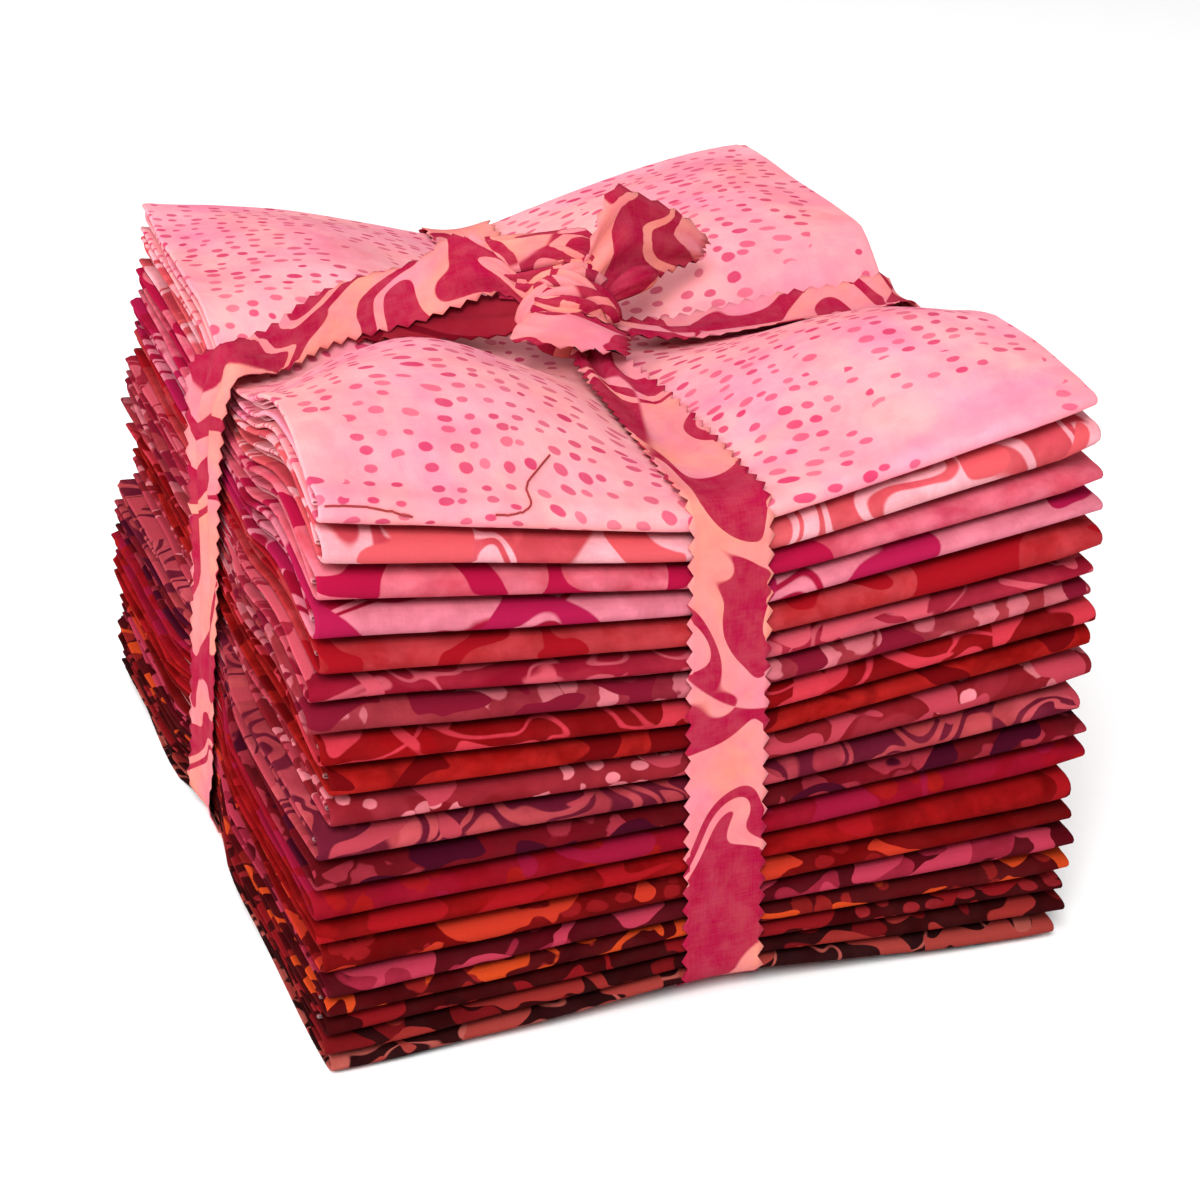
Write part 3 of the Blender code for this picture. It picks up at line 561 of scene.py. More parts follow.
STRIP_WIDE = 20.0
STRIP_HALF = 8.6
TOOTH_STEP = 1.9  # from the tip of a tooth to the notch beside it
TOOTH_DEPTH = 1.3
LEAST_LENGTH = 0.01  # keeps a tooth's direction where two points fall together
LEG_STEPS = 24
TURN_STEPS = 15
ACROSS_STEPS = 12
ACROSS = np.linspace(-1.0, 1.0, ACROSS_STEPS + 1)
PLEATS = 2.5  # half waves of the pleats, each side of the middle line
PLEAT_FADE = 0.3  # how much lower they are at its edges
PLEAT_DRIFT = 0.12  # how they wander along a free end
PLEAT_TURN = 0.6  # and round the knot
EDGE_CURL = 1.6  # the edges of a turn of the knot curl in by this much
SIDE_NIP = 0.25  # and a turn is this much narrower at its two sides

# How far the strip stands off the stack: at least, and then past that
CLEAR = 0.55
FRONT_STAND = 0.1
BACK_EDGE_STAND = 0.6
BACK_STAND = 1.0
RIM_STAND = 0.4
SIDE_STAND = 0.5
FOOT_STAND = 0.2
CROSSING_STAND = 0.7  # where one band lies over the other on the table
CROSSING_REACH = 20.0
RIGHT_MOST = 2.8  # where the cloth beside the band reaches past it
LEFT_MOST = 2.7
# How the bands turn over the edges: how far in from an edge, and how many levels
EDGE_FRONT = 1.6
EDGE_BACK = 1.2
EDGE_SIDE = 0.5
EDGE_LEVEL = 0.12
LEG_END = 0.6
# Rows of the bands along the table: the outermost one, and how many
UNDER_LONG = (84.0, 15)
UNDER_CROSS = (68.0, 13)

UP = np.array((0.0, 0.0, 1.0))
FRONT = np.array((0.0, -1.0, 0.0))
RIGHT = np.array((1.0, 0.0, 0.0))

# The front-to-back band on top, from the knot to the front edge: place from front
# to back, half width, stand-off and height of its pleats
LONG_TOP_FRONT = ((-6, 4.6, 4, 1.3), (-15, 5.6, 2.2, 1.1), (-26, 6.6, 1.1, 0.8),
                  (-38, 7.4, 0.7, 0.5), (-52, 8, 0.4, 0.3), (-66, 8.4, 0.2, 0.1),
                  (-80, 8.6, 0.1, 0))
LONG_TOP_BACK = ((80, 8.6, 0.1, 0), (60, 8.4, 0.2, 0.1), (40, 7.8, 0.3, 0.3),
                 (22, 6.8, 1, 0.7), (10, 5.6, 3, 1), (0, 4.6, 5, 1.2))
# The side-to-side band on top, right of the knot: place across, then the same
CROSS_TOP_RIGHT = ((8, 4.6, 5, 1.2), (15, 5.6, 3, 1), (24, 6.8, 1.2, 0.7),
                   (36, 7.8, 0.5, 0.4), (50, 8.4, 0.3, 0.2), (64, 8.6, 0.2, 0))
# The left leg, from the table up: level, half width, pleats, shift to the back
LEFT_LEG = ((0.6, 8.6, 0, 1), (4, 8.6, 0.1, 2), (8, 8.4, 0.2, 3), (12, 8, 0.6, 4.5),
            (15, 7.8, 1.2, 6), (17.5, 8.8, 1.6, 6), (19.4, 10.4, 1.5, 3))
# Left of the knot on top, where the strip stands up in a fold: near edge, far
# edge, height of its pleats and how far its middle bows up
CROSS_TOP_LEFT = (
    ((-73, -14.5, 112.2), (-74, 6.5, 112.8), 1.2, 0.3),
    ((-62.5, -8, 110.8), (-62.5, 8.4, 114.4), 0.6, 0.4),
    ((-50, 0.5, 111.8), (-50, 15, 118.4), 0.4, 0.6),
    ((-39, 3.5, 112.2), (-37.5, 19.5, 120.4), 0.3, 0.8),
    ((-30.5, 3.4, 113.4), (-29.5, 19, 121.8), 0.3, 1),
    ((-25.2, 3, 115.1), (-24.4, 17.5, 124.4), 0.4, 1.4),
    ((-20.1, 2, 117), (-21.4, 14.5, 128.4), 0.5, 2),
    ((-16.3, 1, 118.6), (-18, 10.5, 130), 0.6, 2.2),
    ((-13.4, -0.5, 119), (-14.6, 7, 129.4), 0.8, 1.6),
    ((-9, -3.5, 117), (-10, 3, 124.5), 1, 0.8),
    ((-5, -5, 116), (-5, 0, 121), 1, 0.4),
)
# The layer of the strip that lies under that fold; it takes the darker second material, painted
# shade for the shadow under the fold
UNDER_LAYER = (
    ((-44, 2.6, 111.2), (-43, 14, 115.6), 0.1, 0.2),
    ((-36, 0.6, 111.4), (-35, 13, 114.5), 0.1, 0.2),
    ((-29, -1.6, 111.4), (-28, 13.5, 115.2), 0.2, 0.3),
    ((-22.4, -4, 111.5), (-21, 10.5, 116.6), 0.3, 0.4),
    ((-15.8, -7.4, 112.6), (-14, 6.5, 118), 0.5, 0.5),
    ((-9.5, -8, 114.2), (-8, 2, 118.6), 0.6, 0.4),
)
# The rolled fold behind the knot, the crumple under it and the small fold in front
BACK_ROLL = (
    ((-15, 3, 124.6), (-14.6, 8, 129.4), 0.3, 1),
    ((-11.2, 1, 123.6), (-8.9, 8, 129.2), 0.5, 2.2),
    ((-5.4, -0.1, 124.4), (-2.8, 8, 128.8), 0.6, 2.6),
    ((0.1, -1, 125.2), (2.9, 7, 129.2), 0.6, 2),
    ((5, -1.5, 124.6), (6.3, 5, 129.8), 0.6, 1.2),
    ((9, -3, 120), (9, 2, 126), 0.6, 0.6),
)
CRUMPLE = (
    ((-14, 0.5, 118.4), (-13.5, 4, 124), 0.8, 0.8),
    ((-10.5, -2, 118.6), (-9.5, 2.5, 123.8), 1, 1.2),
    ((-6, -4, 119.8), (-5, 1, 124.8), 1, 1.4),
    ((0, -5, 120.6), (1, 0, 125.4), 1, 1.2),
    ((5, -5, 119), (6, -1, 124.2), 0.9, 0.8),
    ((9, -4.6, 117), (10, -1, 121), 0.7, 0.4),
)
FRONT_FOLD_SMALL = (
    ((-9.4, -9.6, 118.8), (-9, -8, 120.6), 0.1, 0.3),
    ((-5.6, -12.2, 117.6), (-5.6, -10.2, 121.2), 0.2, 1),
    ((-1.2, -12.8, 116.8), (-1, -10.8, 120.8), 0.2, 1.2),
    ((3, -11.6, 116.2), (3.4, -9.8, 119.2), 0.2, 0.8),
    ((6.4, -9, 115.6), (6.6, -8, 117.2), 0.1, 0.3),
)
# The free ends, from the knot outwards: lower edge, upper edge, pleats, bow
UPPER_END = (
    ((2, -6, 115.5), (1, -1, 121), 0.9, 0),
    ((6.9, -5.1, 117), (5.1, -0.1, 128), 1.1, 0.8),
    ((9.4, -4.1, 117.6), (7.4, 1.5, 132.6), 1.1, 1.2),
    ((12.5, -3, 117.9), (9.2, 3.4, 135.2), 1, 1.7),
    ((15.4, -2, 118), (13, 5.9, 138.8), 0.9, 1.9),
    ((19, 0.2, 118.3), (19.3, 7, 136), 0.8, 2),
    ((22.6, 2, 118.7), (25.4, 8, 132.8), 0.8, 1.8),
    ((28, 4.9, 119), (31, 8.6, 129.2), 0.8, 1.2),
    ((31.8, 6.6, 119.4), (35.2, 9, 124.8), 0.7, 0.7),
)
SIDE_LOOP = (
    ((7.6, -6.4, 116.8), (7.4, -5.4, 119.8), 0.1, 0.4),
    ((11, -6, 117.4), (10.8, -4.8, 122.2), 0.2, 1.2),
    ((15, -4.8, 118), (14.8, -3.4, 123.6), 0.2, 1.5),
    ((18.8, -3, 118.8), (18.6, -2, 122.6), 0.1, 1),
    ((20.6, -0.6, 119.6), (20.4, 0.2, 121), 0, 0.3),
)
LOWER_END = (
    ((-6.5, -8.5, 115.6), (-5, -6, 118), 0.6, 0.3),
    ((-12, -12, 115.2), (-7, -8.5, 118.2), 0.5, 0.6),
    ((-17.4, -15.8, 114.8), (-8.9, -10.4, 118.6), 0.3, 0.9),
    ((-14, -17.5, 114.2), (-5.6, -11.4, 118.8), 0.3, 1.2),
    ((-8.1, -19, 113.2), (-1.4, -12.6, 118.4), 0.3, 1.4),
    ((-1.8, -20.5, 112), (3.2, -13.6, 116.4), 0.2, 1.1),
    ((5.7, -22, 110.9), (8.5, -14.4, 113.4), 0.15, 0.6),
)
KNOT_CENTRE = (-1.4, -7.6, 115.0)
KNOT_RADII = (9.0, 6.4, 7.4)
KNOT_PRINT = 0.008  # how much of the flat cut, in metres, its core shows
KNOT_WAVES = ((0.07, (4.0, 0.0, 11.0)), (0.04, (0.0, 7.0, -6.0)))  # height and way
# Turns of strip round the knot: centre, radii across and up, half width, turn of
# its axis, first and last angle, pleats
KNOT_TURNS = (
    ((-1.6, -8, 114.4), (10.2, 8.6), 3.4, 14, 2, 196, 1),
    ((0.4, -3.8, 115.6), (9.6, 9.2), 3.4, -14, -20, 200, 1),
    ((-2.6, -6.4, 114.6), (8.6, 10.2), 2.8, 34, -10, 190, 0.9),
)


def unit(way):
    return way / np.linalg.norm(way)


def pleat_wave(phase=0.0):
    """The pleats' section over the width of the strip."""
    return np.sin(ACROSS * math.pi * PLEATS + phase) * (1.0 - PLEAT_FADE * ACROSS * ACROSS)


def laid_row(a, b, h, way, stand, pleat):
    """Points across the strip where it lies on the stack."""
    clear = stand + pleat * (1.0 + pleat_wave()) + CLEAR
    return place(a, b, h) + unit(way) * clear[:, None]


def long_row(b, h, way, stand, half=STRIP_HALF, pleat=0.0):
    """Points across the front-to-back band."""
    return laid_row(BAND_A + half * ACROSS, b, h, way, stand, pleat)


def cross_row(a, h, way, stand, half=STRIP_HALF, pleat=0.0, most=0.0, shift=0.0):
    """Points across the side-to-side band."""
    b = cross_b(h) + shift + half * ACROSS
    return laid_row(a, b, h, way, stand + most * (1.0 - cross_share(b, h)), pleat)


def free_rows(table):
    """Points across a free stretch, between its two edges and bowed square to it."""
    result = []
    for index, (near, far, pleat, bow) in enumerate(table):
        before = np.array(table[max(index - 1, 0)][0])
        after = np.array(table[min(index + 1, len(table) - 1)][0])
        slope = unit(np.cross(after - before, np.array(far) - np.array(near)))
        near, far = np.array(near) + TO_MIDDLE, np.array(far) + TO_MIDDLE
        flat = blend(near, far, (ACROSS[:, None] + 1.0) / 2.0)
        rise = bow * (1.0 - ACROSS * ACROSS) + pleat * pleat_wave(near[0] * PLEAT_DRIFT)
        result.append(flat + slope * rise[:, None])
    return result


def long_rows():
    """The front-to-back band: from the knot forward, down, under, up and back."""
    front, back = EDGE_FRONT - HALF_DEPTH, HALF_DEPTH - EDGE_BACK
    down = np.linspace(TOP - LEG_END, LEG_END, LEG_STEPS)
    path = [(front, TOP - EDGE_LEVEL, UP + FRONT, FRONT_STAND)]
    path += [(-HALF_DEPTH, h, FRONT, FRONT_STAND) for h in down]
    path += [(front, EDGE_LEVEL, FRONT - UP, FRONT_STAND)]
    path += [(b, 0.0, -UP, FRONT_STAND) for b in np.linspace(-UNDER_LONG[0], *UNDER_LONG)]
    path += [(back, EDGE_LEVEL, -FRONT - UP, BACK_EDGE_STAND)]
    path += [(HALF_DEPTH, h, -FRONT, BACK_STAND) for h in down[::-1]]
    path += [(back, TOP - EDGE_LEVEL, UP - FRONT, BACK_EDGE_STAND)]
    start, end = ([long_row(b, TOP, UP, stand, half, pleat) for b, half, stand, pleat in table]
                  for table in (LONG_TOP_FRONT, LONG_TOP_BACK))
    return start + [long_row(*spot) for spot in path] + end


def cross_rows():
    """The side-to-side band: from the knot right, down, under, up and back."""
    edge = HALF_WIDTH - EDGE_SIDE
    result = [cross_row(a, TOP, UP, stand, half, pleat)
              for a, half, stand, pleat in CROSS_TOP_RIGHT]
    result.append(cross_row(edge, TOP, UP + RIGHT, RIM_STAND))
    for h in np.linspace(TOP - LEG_END, LEG_END, LEG_STEPS):
        result.append(cross_row(HALF_WIDTH, h, RIGHT, SIDE_STAND, most=RIGHT_MOST))
    result.append(cross_row(edge, 0.0, RIGHT - UP, FOOT_STAND))
    for a in np.linspace(UNDER_CROSS[0], -UNDER_CROSS[0], UNDER_CROSS[1]):
        near = max(0.0, 1.0 - abs(a - BAND_A) / CROSSING_REACH)
        result.append(cross_row(a, 0.0, -UP, FOOT_STAND + CROSSING_STAND * near))
    result.append(cross_row(-edge, 0.0, -RIGHT - UP, FOOT_STAND))
    for h, half, pleat, shift in LEFT_LEG:
        result.append(cross_row(-HALF_WIDTH, h, -RIGHT, SIDE_STAND, half, pleat,
                                LEFT_MOST, shift))
    return result + free_rows(CROSS_TOP_LEFT)


def turn_rows(centre, radii, half, axis_turn, first, last, pleat):
    """One gathered turn of the strip round the knot."""
    turn = math.radians(axis_turn)
    side = np.array((math.sin(turn), math.cos(turn), 0.0))
    out = np.array((math.cos(turn), -math.sin(turn), 0.0))
    result = []
    for angle in np.radians(np.linspace(last, first, TURN_STEPS)):
        way = out * math.cos(angle) + UP * math.sin(angle)
        reach = out * radii[0] * math.cos(angle) + UP * radii[1] * math.sin(angle)
        lift = pleat * pleat_wave(PLEAT_TURN * angle) - EDGE_CURL * ACROSS * ACROSS
        sides = half * (1.0 - SIDE_NIP * abs(math.cos(angle))) * ACROSS
        result.append(np.array(centre) + TO_MIDDLE + reach + side * sides[:, None]
                      + way * lift[:, None])
    return result


def moved_on(edge, beside, length):
    """Points of an edge, moved this far towards the points beside them."""
    way = beside - edge
    size = np.linalg.norm(way, axis=-1, keepdims=True)
    return edge + way / np.maximum(size, LEAST_LENGTH) * length


def add_ribbon(work, uv, control, start, teeth, cut_end=False, painted_shade=False):
    """Adds a ribbon through rows of points to a bmesh, pinked unless teeth is 0.
    start is how far along the strip's flat cut it begins, cut_end pinks its last
    row too, and the last flag gives the ribbon the strip's darker second material,
    which is painted shade for the layer in shadow under the fold; gives back where
    it ends."""
    control = np.array(control)
    steps = np.linalg.norm(np.diff(control[:, ACROSS_STEPS // 2], axis=0), axis=1)
    reach = np.concatenate(([0.0], np.cumsum(steps)))
    count = max(8, int(reach[-1] / TOOTH_STEP))
    where = np.linspace(0.0, reach[-1], count + 1)
    grid = bmesh.ops.create_grid(work, x_segments=ACROSS_STEPS, y_segments=count, size=1.0)
    lines = smooth_path(where, reach, control)
    lines[1::2, [0, -1]] = moved_on(lines[1::2, [0, -1]], lines[1::2, [1, -2]], teeth)
    if cut_end:
        lines[-1, 1::2] = moved_on(lines[-1, 1::2], lines[-2, 1::2], -teeth)
    for vert in grid["verts"]:
        column = round((vert.co.x + 1.0) / 2.0 * ACROSS_STEPS)
        line = round((vert.co.y + 1.0) / 2.0 * count)
        vert.co = Vector(lines[line, column]) * MM
        for loop in vert.link_loops:
            loop[uv].uv = (column / ACROSS_STEPS * STRIP_WIDE * MM, (start + where[line]) * MM)
            # Material 1 is the darker one, painted shade
            loop.face.material_index = int(painted_shade)
    return start + reach[-1]


def add_knot_core(work, uv):
    """The crumpled lump that the turns of the knot close round."""
    ball = bmesh.ops.create_icosphere(work, subdivisions=4, radius=1.0)
    centre = np.array(KNOT_CENTRE) + TO_MIDDLE
    for vert in ball["verts"]:
        x, y, z = vert.co
        crumple = 1.0
        for height, way in KNOT_WAVES:
            crumple += height * math.sin(way[0] * x + way[1] * y + way[2] * z)
        spot = centre + np.array((x, y, z)) * np.array(KNOT_RADII) * crumple
        vert.co = Vector(spot) * MM
        for loop in vert.link_loops:
            loop[uv].uv = ((x + 1.0) * KNOT_PRINT, (y + z + 2.0) * KNOT_PRINT)


def tie_strip(looks):
    """The strip as one piece: both bands, the knot and its two free ends."""
    mesh = bpy.data.meshes.new("pinked_strip")
    work = bmesh.new()
    uv = work.loops.layers.uv.new("flat_cut")
    teeth = looks.tooth_depth / MM
    reach = add_ribbon(work, uv, free_rows(UPPER_END), 0.0, teeth, cut_end=True)
    reach = add_ribbon(work, uv, cross_rows(), reach, teeth)
    # The layer under the fold takes the darker material: painted shade
    reach = add_ribbon(work, uv, free_rows(UNDER_LAYER), reach, teeth, painted_shade=True)
    for turn in KNOT_TURNS:
        reach = add_ribbon(work, uv, turn_rows(*turn), reach, 0.0)
    for fold in (BACK_ROLL, CRUMPLE, FRONT_FOLD_SMALL, SIDE_LOOP):
        reach = add_ribbon(work, uv, free_rows(fold), reach, 0.0)
    reach = add_ribbon(work, uv, long_rows(), reach, teeth)
    add_ribbon(work, uv, free_rows(LOWER_END), reach, teeth, cut_end=True)
    add_knot_core(work, uv)
    work.to_mesh(mesh)
    work.free()
    face = linear_print(STRIP_PRINT, looks.strip_ground, looks.strip_scrolls)
    piece = cloth_object("pinked_strip", mesh, strip_material("strip_print", face),
                         looks.cloth_thickness)
    # The second material is painted shade: the print darkened for the layer under the fold
    mesh.materials.append(strip_material("strip_painted_shade", linear_print(STRIP_PAINTED_SHADE)))
    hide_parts("tie_strip")
    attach(piece, "root")


# ---------------------------------------------------------------------------
# Materials

class Graph:
    """Adds nodes to a node tree and links them, with few words."""

    def __init__(self, tree):
        self.tree = tree

    def feed(self, socket, value):
        if isinstance(value, bpy.types.NodeSocket):
            self.tree.links.new(value, socket)
        else:
            socket.default_value = value

    def node(self, kind, settings=None, **inputs):
        made = self.tree.nodes.new(kind)
        for key, value in (settings or {}).items():
            setattr(made, key, value)
        for key, value in inputs.items():
            self.feed(made.inputs[key.replace("_", " ")], value)
        return made

    def math(self, operation, *values, clamp=False):
        made = self.node("ShaderNodeMath", {"operation": operation, "use_clamp": clamp})
        for socket, value in zip(made.inputs, values):
            self.feed(socket, value)
        return made.outputs[0]

    def times(self, first, second):
        return self.math("MULTIPLY", first, second)

    def less(self, first, second):
        return self.math("SUBTRACT", first, second)

    def vector(self, operation, first, second):
        made = self.node("ShaderNodeVectorMath", {"operation": operation})
        self.feed(made.inputs[0], first)
        self.feed(made.inputs["Scale" if operation == "SCALE" else 1], second)
        return made.outputs[0]

    def mix(self, share, first, second, way="MIX"):
        made = self.node("ShaderNodeMix", {"data_type": "RGBA", "blend_type": way})
        self.feed(made.inputs["Factor"], share)
        self.feed(made.inputs[6], first)
        self.feed(made.inputs[7], second)
        return made.outputs[2]

    def noise(self, flat, scale, detail, **inputs):
        return self.node("ShaderNodeTexNoise", {"noise_dimensions": "2D"}, Vector=flat,
                         Scale=scale, Detail=detail, **inputs).outputs

    def step(self, value, low, high):
        """0 below low and 1 above high, with a soft change between."""
        return self.node("ShaderNodeMapRange", {"interpolation_type": "SMOOTHSTEP"},
                         Value=value, From_Min=low, From_Max=high).outputs["Result"]

    def group(self, maker, **inputs):
        """The outputs of a shared node group."""
        return self.node("ShaderNodeGroup", {"node_tree": shared(maker)}, **inputs).outputs


def new_group(name, outputs, **numbers):
    """A shader node group that takes a place on the cloth and some numbers, and
    gives numbers out: its tree, Graph, inputs and outputs."""
    tree = bpy.data.node_groups.new(name, "ShaderNodeTree")
    add = tree.interface.new_socket
    add("Place", in_out="INPUT", socket_type="NodeSocketVector")
    for label, default in numbers.items():
        add(label, in_out="INPUT", socket_type="NodeSocketFloat").default_value = default
    for label in outputs:
        add(label, in_out="OUTPUT", socket_type="NodeSocketFloat")
    graph = Graph(tree)
    return (tree, graph, graph.node("NodeGroupInput").outputs,
            graph.node("NodeGroupOutput").inputs)


def new_material(name, roughness, specular):
    """A material, its Graph and the sockets of its shader."""
    material = bpy.data.materials.new(name)
    material.use_nodes = True
    sockets = material.node_tree.nodes["Principled BSDF"].inputs
    sockets["Roughness"].default_value = roughness
    sockets["Specular IOR Level"].default_value = specular
    return material, Graph(material.node_tree), sockets


METRE = 1000.0  # in millimetres, the unit of every size below
MIDDLE_GREY = (0.5, 0.5, 0.5)
WARM_TINT = 0.66  # the blue that is left where the dye has turned warm
WARM_DEPTH = 0.5
LIGHT_DEPTH = 0.12  # how much paler the ground is between its small clouds
MOTIF_CLOUDS = 0.10  # how much a motif loses in them
CLOUD_DEPTH = 0.8  # of the motif of a clouded cloth
SMALL_CLOUDS = 0.22  # in sizes of the large clouds
WARM_CLOUDS = 0.8
BLOTCHES = 1.3  # in sizes of the motif
SPARSE_MARKS = 0.9
SCROLL_FIELDS = 3.0
WAX_SOFT = 0.011  # how soft the edges of the marks are
BLOTCH_SOFT = 0.03
SCROLL_SOFT = 0.0025
NO_LINE = -1.0  # leaves the islands alone
LINE_LEVEL = 0.46  # where in the flow a line runs
FIELD_LEAST = 0.555  # less makes the deep fields between the scrolls larger
DEEP_STAIN = (0.56, 0.40, 0.42, 1.0)  # what uneven dye leaves of a deep colour
PALE_STAIN = (0.96, 0.62, 0.74, 1.0)  # and of a pale one
DEEP_BLOTCH = 0.75
PALE_BLOTCH = 0.1
MOTTLE_SIZE, MOTTLE_DEPTH = 6.0, 0.42
WASH_SIZE, WASH_DEPTH = 22.0, 0.24
WEAVE_TONE = 0.06
EDGE_TONE = 0.5
RUMPLE = 160.0  # how fine the unevenness of the surface is
WEAVE_HEIGHT = 0.35  # the weave's part in it
BUMP_STRENGTH = 0.35
BUMP_HEIGHT = 0.0004  # in metres
CLOTH_ROUGHNESS = 0.88
CLOTH_SHINE = 0.02
SHEEN, SHEEN_ROUGHNESS = 0.02, 0.5
# A tone made of a colour: how much of it is left, and what is added
LIGHT_TONE = (1.12, 0.02)
THREAD_TONE = (0.55, 0.0)
FRAYED_TONE = (0.7, 0.25)
DYE_STEP = (0.34, 0.66)
# Marks in cells: what bends their rows and shakes each one, and how finely
CELL_SWAYS = (("Bend", 0.16), ("Shake", 2.6))
CELL_SOFT = 0.03
DRIFTS = 0.13  # how fine the drifts of marks are
DRIFT_CHANCE = 0.10  # how much chance adds to them
# The span of a value, and the least of it
RADIUS_SPAN = (0.5, 0.72)
GAP_SPAN = (0.30, 0.33)
TONE_SPAN = (0.38, 0.62)
FLOW_SCALE, FLOW_DETAIL = 0.55, 0.6
THREAD_RUN = 0.07  # how slowly a thread of the weave changes along its length
WEAVE_STEP = (0.35, 0.65)
QUARTER_CLOUDS, QUARTER_SEED = 42.0, 1.7  # the size of their large clouds, and a seed
STRIP_CLOUDS, STRIP_SEED = 24.0, 4.4


def dye_clouds():
    """Soft uneven dye: a share that drifts over the cloth."""
    tree, graph, given, made = new_group("dye_clouds", ["Share"], Size=30.0, Seed=0.0)
    noise = graph.node("ShaderNodeTexNoise", {"noise_dimensions": "4D"}, Vector=given["Place"],
                       W=given["Seed"], Scale=graph.math("DIVIDE", METRE, given["Size"]),
                       Detail=4.0, Roughness=0.58, Distortion=0.4)
    graph.feed(made["Share"], graph.step(noise.outputs["Fac"], *DYE_STEP))
    return tree


def spread_out(graph, given, skew):
    """The cloth in steps of the mark's size, moved on by the seed."""
    scale = graph.math("DIVIDE", METRE, given["Size"])
    start = graph.node("ShaderNodeCombineXYZ", X=given["Seed"],
                       Y=graph.times(given["Seed"], skew)).outputs[0]
    return graph.vector("ADD", graph.vector("SCALE", given["Place"], scale), start)


def wax_cells():
    """Rounded marks in loose drifts: dots, leaves or bars, by how they are stretched."""
    tree, graph, given, made = new_group(
        "wax_cells", ["Mask"], Size=8.0, Seed=0.0, Stretch=1.0, Looseness=0.6, Radius=0.3,
        Bend=0.5, Shake=0.2, Gaps=0.4)
    spread = spread_out(graph, given, 3.3)
    moved = []
    for share, scale in CELL_SWAYS:
        noise = graph.noise(spread, scale, 1.0)
        off = graph.vector("SUBTRACT", noise["Color"], MIDDLE_GREY)
        moved.append(graph.vector("SCALE", off, given[share]))
    shape = graph.node("ShaderNodeCombineXYZ", X=1.0, Y=given["Stretch"], Z=1.0)
    moved = graph.vector("ADD", spread, graph.vector("ADD", *moved))
    cells = graph.node("ShaderNodeTexVoronoi", {"voronoi_dimensions": "2D"},
                       Vector=graph.vector("MULTIPLY", moved, shape.outputs[0]), Scale=1.0,
                       Randomness=given["Looseness"])
    own = graph.node("ShaderNodeSeparateColor", Color=cells.outputs["Color"]).outputs
    radius = graph.times(given["Radius"], graph.math("MULTIPLY_ADD", own[0], *RADIUS_SPAN))
    inside = graph.step(graph.less(radius, cells.outputs["Distance"]), -CELL_SOFT, CELL_SOFT)
    drift = graph.noise(spread, DRIFTS, 2.0)["Fac"]
    field = graph.math("MULTIPLY_ADD", own[1], DRIFT_CHANCE, drift)
    present = graph.math("GREATER_THAN", field,
                         graph.math("MULTIPLY_ADD", given["Gaps"], *GAP_SPAN))
    tone = graph.math("MULTIPLY_ADD", own[2], *TONE_SPAN)
    graph.feed(made["Mask"], graph.times(graph.times(inside, present), tone))
    return tree


def wax_lines():
    """Flowing strokes and islands, as from a brush of hot wax."""
    tree, graph, given, made = new_group(
        "wax_lines", ["Mask"], Size=15.0, Seed=0.0, Line=0.03, Island=0.62, Swirl=0.6,
        Softness=0.008)
    flow = graph.noise(spread_out(graph, given, 2.7), FLOW_SCALE, FLOW_DETAIL, Roughness=0.4,
                       Distortion=given["Swirl"])["Fac"]
    away = graph.math("ABSOLUTE", graph.less(flow, LINE_LEVEL))
    low = graph.times(given["Softness"], -1.0)
    line, island = (graph.step(value, low, given["Softness"]) for value in (
        graph.less(given["Line"], away), graph.less(flow, given["Island"])))
    graph.feed(made["Mask"], graph.math("MAXIMUM", line, island))
    return tree


def plain_weave():
    """Uneven threads both ways: a height for the bump and a tone for the colour."""
    tree, graph, given, made = new_group("plain_weave", ["Height", "Tone"], Thread=0.38)
    fine = graph.math("DIVIDE", METRE, given["Thread"])
    threads = []
    for along, across in ((1.0, THREAD_RUN), (THREAD_RUN, 1.0)):
        stretch = graph.vector("MULTIPLY", given["Place"], (along, across, 1.0))
        threads.append(graph.noise(stretch, fine, 1.0)["Fac"])
    both = graph.times(graph.math("ADD", *threads), 0.5)
    graph.feed(made["Height"], both)
    graph.feed(made["Tone"], graph.step(both, *WEAVE_STEP))
    return tree


def cut_edge():
    """1 on the pale loose threads along the edges of a flat cut."""
    tree, graph, given, made = new_group(
        "cut_edge", ["Mask"], Width=CUT_WIDTH, Length=CUT_LENGTH, Depth=0.8)
    split = graph.node("ShaderNodeSeparateXYZ", Vector=given["Place"]).outputs
    closest = []
    for axis, size in (("X", "Width"), ("Y", "Length")):
        near = graph.times(split[axis], METRE)
        closest.append(graph.math("MINIMUM", near, graph.less(given[size], near)))
    away = graph.math("DIVIDE", graph.math("MINIMUM", *closest), given["Depth"])
    graph.feed(made["Mask"], graph.math("SUBTRACT", 1.0, away, clamp=True))
    return tree


GROUPS = {}


def shared(maker):
    """A shared node group, built the first time that it is asked for."""
    if maker.__name__ not in GROUPS:
        GROUPS[maker.__name__] = maker()
    return GROUPS[maker.__name__]


# How each motif is drawn, by wax_cells or by wax_lines; "clouds" is in neither
CELL_SOCKETS = ("Stretch", "Looseness", "Radius", "Bend", "Shake")
CELL_MOTIFS = {
    "dots": (1.3, 0.55, 0.235, 1.8, 0.05),
    "spots": (1.0, 1.0, 0.28, 1.5, 0.1),
    "leaves": (0.55, 0.9, 0.36, 2.0, 0.25),
    "bars": (0.5, 0.7, 0.36, 1.5, 0.2),
}
# Half width of a line, least height of an island at the usual cover, and swirl
LINE_MOTIFS = {
    "swirls": (0.040, 0.60, 0.9),
    "strokes": (0.022, 0.66, 0.5),
    "patches": (-0.05, 0.56, 0.6),
    "scrolls": (0.036, 0.61, 0.6),
}
USUAL_COVER = 0.34
COVER_RISE = 0.2


